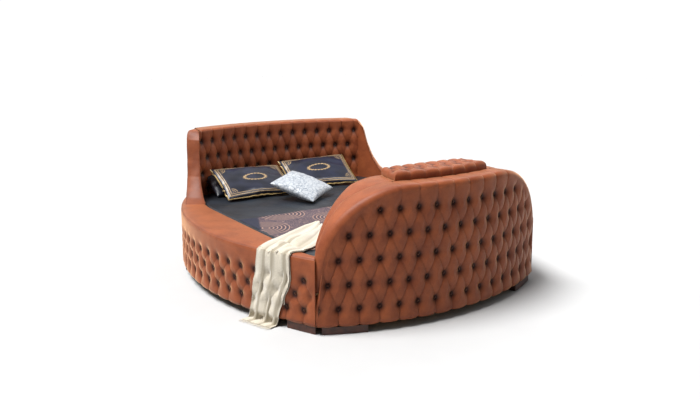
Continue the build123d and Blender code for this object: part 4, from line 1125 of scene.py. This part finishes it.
def stuffedCase(name, size):
    # Two flat panels sewn at the edge and blown up by cloth pressure; u and v stay on its vertices
    halves = []
    for side in (1, -1):
        half = startGrid(name + "Half", *stuffing["grid"])
        flat = spotsOf(half)
        u, v = flat[:, 0], flat[:, 1]
        swell = np.sqrt(unit((1 - u ** 4) * (1 - v ** 4)))
        shape = [size[0] * 0.53 * u, size[1] * 0.54 * v, side * size[2] * 0.16 * swell]
        putSpots(half, np.stack(shape, -1) * mm)
        store(half, "across", u)
        store(half, "along", v)
        store(half, "side", np.full(len(flat), side))
        if side < 0:
            half.data.flip_normals()
        halves.append(half)
    pick(*halves)
    bpy.ops.object.join()
    case = bpy.context.active_object
    case.name = name
    editMesh(bpy.ops.mesh.remove_doubles, threshold=0.0005)
    cloth = case.modifiers.new("stuffing", "CLOTH")
    for key, value in stuffing["cloth"].items():
        setattr(cloth.settings, key, value)
    cloth.settings.effector_weights.gravity = 0
    cloth.point_cache.frame_start = 1
    cloth.point_cache.frame_end = stuffing["frames"] + 2
    for step in range(1, stuffing["frames"] + 1):
        bpy.context.scene.frame_set(step)
    bpy.ops.object.modifier_apply(modifier="stuffing")
    bpy.context.scene.frame_set(1)
    blown = fitBox(spotsOf(case), size)
    u, v, side = [kept(case, key) for key in ("across", "along", "side")]
    dome = (unit(1 - u ** 2) * unit(1 - v ** 2)) ** 0.42
    crumple = 0.05 * np.sin(7 * u + 3 * v) * np.sin(9 * v - 2 * u) + 0.03 * np.sin(17 * u * v + 4 * u)
    wide, tall, thick = [length / 2 for length in size]
    full = np.stack([u * (1 - 0.045 * (1 - v ** 2)) * wide, v * (1 - 0.06 * (1 - u ** 2)) * tall,
                     side * dome * (0.94 + crumple) * thick], -1) * mm
    putSpots(case, fitBox(0.3 * blown + 0.7 * full, size))
    return case


def trimFigure(u, v, size):
    # Two border lines, an oval wreath in the middle and small corner fans, all generic
    x, y = u * size[0] / 2, v * size[1] / 2
    inX, inY = size[0] / 2 - np.abs(x), size[1] / 2 - np.abs(y)
    inset = np.minimum(inX, inY)
    lines = (np.abs(inset - 25) < 4.0) | (np.abs(inset - 40) < 2.4)
    around = np.arctan2(y / 40, x / 96)
    wreath = np.abs(np.hypot(x / 96, y / 40) - 1) < 0.15 * np.abs(np.sin(10 * around)) + 0.02
    fan = np.hypot(inX - 52, inY - 52)
    fans = (np.abs(np.mod(fan, 16) - 8) < 2.6) & (fan < 52) & (inX > 52) & (inY > 52)
    return (lines | wreath | fans).astype(float)


def restOnBed(spots, clear):
    # Pressed flat on the cover and kept off the headboard's face
    lowest = bed["coverZ"] * mm + clear
    headY = rail["headY"] * mm
    keep = np.minimum(1, bed["pillowReach"] * mm / np.hypot(spots[:, 0], spots[:, 1] - headY))
    spots[:, 0] *= keep
    spots[:, 1] = headY + (spots[:, 1] - headY) * keep
    spots[:, 2] = np.maximum(spots[:, 2], lowest)
    return spots


def keepAbove(piece, level):
    spots = spotsOf(piece)
    spots[:, 2] = np.maximum(spots[:, 2], level)
    putSpots(piece, spots)


def addFringe(name, edge, outward, length, step, material):
    # Short twisted strands along an edge, each a thin three-sided taper
    edge = np.array(edge, dtype=float)
    walk = np.concatenate([[0], np.cumsum(np.linalg.norm(np.diff(edge, axis=0), axis=1))])
    count = int(walk[-1] / step)
    even = np.linspace(0, walk[-1], count)
    spots, ways = [np.stack([np.interp(even, walk, rows[:, n]) for n in range(3)], -1)
                   for rows in (edge, np.array(outward))]
    verts, faces = [], []
    for n in range(count):
        sway = math.sin(n * 2.4) * 0.35 + math.sin(n * 5.1) * 0.2
        along = spots[min(n + 1, count - 1)] - spots[max(n - 1, 0)]
        along = along / max(np.linalg.norm(along), 1e-9)
        way = ways[n] / np.linalg.norm(ways[n]) + along * sway * 0.5
        reach = length * (0.85 + 0.15 * math.sin(n * 3.7))
        lift = np.cross(along, way)
        start = len(verts)
        for share, thick in ((0.0, 1.9), (0.55, 1.7), (1.0, 0.9)):
            mid = spots[n] + way * reach * share + lift * math.sin(share * 3 + n) * 0.8
            for turn in range(3):
                a = turn * 2 * math.pi / 3
                verts.append(tuple((mid + (along * math.cos(a) + lift * math.sin(a)) * thick) * mm))
        for ring in (0, 3):
            for turn in range(3):
                a, b = start + ring + turn, start + ring + (turn + 1) % 3
                faces.append((a, b, b + 3, a + 3))
        faces += [(start + 2, start + 1, start), (start + 6, start + 7, start + 8)]
    mesh = bpy.data.meshes.new(name)
    mesh.from_pydata(verts, [], faces)
    piece = addObject(name, mesh)
    pick(piece)
    editMesh(bpy.ops.mesh.normals_make_consistent, inside=False)
    return settle(piece, material)


def buildPillows():
    cases = {}
    for name, row in pillows.items():
        if row["kind"] not in cases:
            cases[row["kind"]] = stuffedCase(row["kind"] + "Case", row["size"])
        model = cases[row["kind"]]
        piece = addObject(name, model.data.copy())
        pick(piece)
        rounder = piece.modifiers.new("rounder", "SUBSURF")
        rounder.levels = rounder.render_levels = 2 if row["kind"] == "sham" else 1
        bpy.ops.object.modifier_apply(modifier="rounder")
        u, v, side = [kept(piece, key) for key in ("across", "along", "side")]
        if row["kind"] == "sham":
            store(piece, "trim", trimFigure(u, v, row["size"]) * (side > 0))
        piece.data.transform(pillowMatrix(row))
        spots = spotsOf(piece)
        putSpots(piece, restOnBed(spots, 0.0008 if row["kind"] == "plain" else 0.0012))
        makeSmooth(piece)
        piece.data.update()
        look, word = pillowLooks[row["kind"]]
        settle(piece, look, "bed")
        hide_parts(row["node"])
        if row["kind"] == "sham":
            ring = [(s, -1) for s in np.linspace(-1, 1, 30)] + [(1, s) for s in np.linspace(-1, 1, 20)][1:]
            ring = [(-1, s) for s in np.linspace(1, -1, 20)][:-1] + ring
            places, ways = [], []
            for a, b in ring:
                near = np.argmin((u - a * 0.985) ** 2 + (v - b * 0.985) ** 2 + (side < 0) * 0.001)
                spot = np.array(piece.data.vertices[int(near)].co[:]) / mm
                centre = np.array(row["place"], dtype=float)
                away = spot - centre
                away = away / np.linalg.norm(away)
                places.append(spot + away)
                way = away + np.array([0, 0, -0.25])
                if spot[2] < bed["coverZ"] + 24:
                    way[2] = max(way[2], -0.02)
                ways.append(way)
            fringe = addFringe(name + "Fringe", places, ways, 13.0, 3.0, goldCord)
            keepAbove(fringe, (bed["coverZ"] + 2.5) * mm)
    for model in cases.values():
        bpy.data.objects.remove(model)


# Throw: lines lie on the bed; hang rows give walks along the rail, depth behind its face and height
throwShape = dict(
    foldAndShade=16.0, folds=3.4, seed=0.6, across=130, along=240, clear=0.008, thick=0.003,
    lines=(((-494, -378), (-499, -512), 470), ((-548, -400), (-575, -612), 474),
           ((-612, -420), (-650, -712), 472),
           ((-690, -450), (-724, -800), 472), ((-770, -490), (-796, -856), 471),
           ((-838, -528), (-846, -872), 474),
           ((-872, -548), (-874, -880), 477), ((-905, -568), (-907, -896), 477)),
    hang=((-646, -888, 20, 477), (-644, -888, -4, 470), (-641, -888, -12, 448), (-628, -889, -12, 370),
          (-612, -888, -12, 300), (-596, -850, -13, 210), (-581, -818, -13, 122), (-568, -803, -14, 60),
          (-557, -790, -18, 18), (-552, -784, -34, 8), (-550, -780, -56, 7)))


def throwRows():
    # Each row runs over 61 even shares, from the end at the pillows to the end at the foot
    rows = []
    share = np.linspace(0, 1, 61)
    for far, near, level in throwShape["lines"]:
        x = far[0] + (near[0] - far[0]) * share
        y = far[1] + (near[1] - far[1]) * share
        rows.append(np.stack([x, y, np.full(61, float(level))], -1))
    for far, near, depth, level in throwShape["hang"]:
        x, y = railPlace(far + (near - far) * share, depth)
        rows.append(np.stack([x, y, np.full(61, float(level))], -1))
    return np.array(rows)


def buildThrow():
    rows = throwRows()
    last = len(rows) - 1
    walk = np.concatenate([[0], np.cumsum(np.linalg.norm(np.diff(rows[:, 30], axis=0), axis=1))])
    walk /= walk[-1]

    def base(u, v):
        # A smooth curve through the rows
        spot = np.interp(v, walk, np.arange(last + 1))
        low = np.clip(np.floor(spot).astype(int), 0, last - 1)
        t = (spot - low)[..., None]
        col = np.clip(u * 60, 0, 59.999)
        c0 = np.floor(col).astype(int)
        cf = (col - c0)[..., None]

        def at(r):
            r = np.clip(r, 0, last)
            return rows[r, c0] * (1 - cf) + rows[r, c0 + 1] * cf
        p0, p1, p2, p3 = at(low - 1), at(low), at(low + 1), at(low + 2)
        bend = (2 * p0 - 5 * p1 + 4 * p2 - p3) * t * t + (3 * p1 - p0 - 3 * p2 + p3) * t ** 3
        out = 0.5 * (2 * p1 + (p2 - p0) * t + bend)
        return out[..., 0], out[..., 1], out[..., 2]

    def puff(u, v, points):
        # Deeper folds where it hangs, a soft bunch where it lies, thin at both long edges
        seed = throwShape["seed"]
        hang = smoothStep((v - 0.45) / 0.3)
        turn = u * throwShape["folds"] * 6.283 * (1 - 0.12 * v)
        wave = np.sin(turn + seed + 0.5 * np.sin(v * 4 + seed)) * 0.7
        wave = wave + 0.3 * np.sin(u * 31 + v * 2.5 + seed * 2) + 0.12 * np.sin(u * 58 - v * 5)
        deep = throwShape["foldAndShade"] * (0.45 + 0.75 * hang)
        bunch = 13 * (1 - hang) * (1 + np.sin(u * 7 + v * 9 + seed)) * np.sin(unit(u) * math.pi)
        height = 4 + deep * np.maximum(0.05, 1.0 + 1.35 * wave) + bunch
        # Painted shade in the hollows of the folds
        return height * unit(0.3 + np.minimum(u, 1 - u) * 18), unit(0.45 - wave * 0.8) * 0.7

    under = [BVHTree.FromPolygons(spotsOf(o), [list(f.vertices) for f in o.data.polygons])
             for o in (made["railPadLeft"], made["bedRunnerCloth"], made["bedCoverCloth"])]

    def nearMean(values):
        wide = np.pad(values, ((1, 1), (1, 1), (0, 0)), mode="edge")
        return (wide[:-2, 1:-1] + wide[2:, 1:-1] + wide[1:-1, :-2] + wide[1:-1, 2:]) / 4

    def lay(piece):
        # Lift the cloth off whatever it would cut, then even out the lift
        spots = spotsOf(piece).reshape(along, across, 3)
        for turn in range(6):
            push = np.zeros_like(spots)
            for i in range(along):
                for j in range(across):
                    spot = Vector(spots[i, j])
                    for tree in under:
                        hit, normal, face, far = tree.find_nearest(spot, 0.12)
                        if hit is None:
                            continue
                        depth = throwShape["clear"] - (spot - hit).dot(normal)
                        if depth > 0 and far < 0.1:
                            push[i, j] += np.array(normal) * depth
            for sweep in range(3):
                soft = nearMean(push)
                longer = np.linalg.norm(soft, axis=-1) > np.linalg.norm(push, axis=-1)
                push = np.where(longer[..., None], soft, push)
            spots += push
            if turn < 5:
                spots[1:-1, 1:-1] += (nearMean(spots) - spots)[1:-1, 1:-1] * 0.8
        spots[..., 2] = np.maximum(spots[..., 2], 0.006)
        putSpots(piece, spots)
        piece.data.update()

    across, along = throwShape["across"], throwShape["along"]
    long = shapeGrid("throwCloth", knit, evenly(across), evenly(along), base, puff)
    lay(long)
    final = spotsOf(long).reshape(along, across, 3) / mm
    endShare = float(np.interp(13.35, np.arange(last + 1), walk))

    def onLong(u, v):
        # The place on the long layer, between its four nearest vertices
        row, col = unit(v) * (along - 1), unit(u) * (across - 1)
        r0 = np.clip(np.floor(row).astype(int), 0, along - 2)
        c0 = np.clip(np.floor(col).astype(int), 0, across - 2)
        fr, fc = (row - r0)[..., None], (col - c0)[..., None]
        near = final[r0, c0] * (1 - fc) + final[r0, c0 + 1] * fc
        out = near * (1 - fr) + (final[r0 + 1, c0] * (1 - fc) + final[r0 + 1, c0 + 1] * fc) * fr
        return out[..., 0], out[..., 1], out[..., 2]

    def overLong(u, v, points):
        wave = np.sin(u * 17 + 1.2 * np.sin(v * 6)) * 0.6 + 0.4 * np.sin(u * 41 + v * 3)
        # Painted shade in the hollows of the folds
        return 6 + 4 * (1 + wave), unit(0.4 - wave * 0.5) * 0.6

    short = shapeGrid("throwFold", knit, np.linspace(0.44, 1.0, 80), np.linspace(0.30, endShare, 130), onLong,
                      overLong)
    for piece, wide in ((long, across), (short, 80)):
        spots = spotsOf(piece) / mm
        hem = spots[-wide:]
        if piece is long:
            away = hem - spots[-2 * wide:-wide]
            away[:, 2] = 0
        else:
            away = np.tile([0.0, 0.0, -1.0], (len(hem), 1))
        fringe = addFringe(piece.name + "Fringe", hem, away, 34.0, 7.0, knit)
        keepAbove(fringe, 0.003)
    for piece in (long, short):
        pick(piece)
        thick = piece.modifiers.new("thick", "SOLIDIFY")
        thick.thickness = throwShape["thick"]
        thick.offset = -1
        bpy.ops.object.modifier_apply(modifier="thick")
        area = sum(p.area for p in piece.data.polygons) / 2
        print(piece.name, "area", round(area, 3))
    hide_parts("throw")


buildBedBase()
buildPillows()
buildThrow()
print("bedding built")


# Floor and light
room = dict(floor="#B2B2B2", wall="#FFFFFF", worldPower=1.04, sunPower=6.4, fillPower=2.5, headPower=22.5)


def addArea(name, place, aim, size, power):
    data = bpy.data.lights.new(name, "AREA")
    data.shape = "RECTANGLE"
    data.size, data.size_y = size
    data.energy = power
    lamp = addObject(name, data)
    lamp.location = place
    lamp.rotation_euler = (Vector(aim) - Vector(place)).to_track_quat("-Z", "Y").to_euler()


def buildStudio():
    deselectAll()
    bpy.ops.mesh.primitive_grid_add(x_subdivisions=8, y_subdivisions=8, size=60, location=(0, 0, -0.0005))
    floor = bpy.context.active_object
    floor.name = "studioFloor"
    mat, shader = newMaterial("paintedFloor", {"Roughness": 0.8, "Specular IOR Level": 0.1})
    grain = noiseNode(mat, placeNode(mat), 3.0)
    paint(mat, shader, rampNode(mat, grain, ((0.2, room["floor"]), (0.8, "#B6B6B6"))))
    floor.data.materials.append(mat)
    world = bpy.data.worlds.new("studio")
    world.use_nodes = True
    toSky = addNode(world, "ShaderNodeTexCoord").outputs["Generated"]
    aim = addNode(world, "ShaderNodeVectorMath", {"operation": "DOT_PRODUCT"})
    world.node_tree.links.new(toSky, aim.inputs[0])
    aim.inputs[1].default_value = (0.275, 0.41, 0.0)
    facing = joinMath(world, "ADD", aim.outputs["Value"], 0.5)
    sky = rampNode(world, facing, ((0.0, "#4E5052"), (0.5, "#98999A"), (0.85, room["wall"])))
    world.node_tree.links.new(sky, world.node_tree.nodes["Background"].inputs["Color"])
    world.node_tree.nodes["Background"].inputs["Strength"].default_value = room["worldPower"]
    bpy.context.scene.world = world
    sun = bpy.data.lights.new("windowLight", "SUN")
    sun.energy = room["sunPower"]
    sun.angle = math.radians(30)
    lamp = addObject("windowLight", sun)
    lamp.location = (-2.0, 0.5, 4.0)
    lamp.rotation_euler = Vector((0.42, -0.10, -0.90)).to_track_quat("-Z", "Y").to_euler()
    addArea("leftPanel", (-4.2, -2.2, 1.8), (0, -0.4, 0.4), (2.4, 2.0), room["fillPower"])
    addArea("headPanel", (0.7, -0.5, 2.1), (0, 1.1, 0.72), (1.2, 0.8), room["headPower"])
    bpy.context.scene.view_settings.view_transform = "Standard"


addCamera()
buildStudio()
deselectAll()
print("studio built")
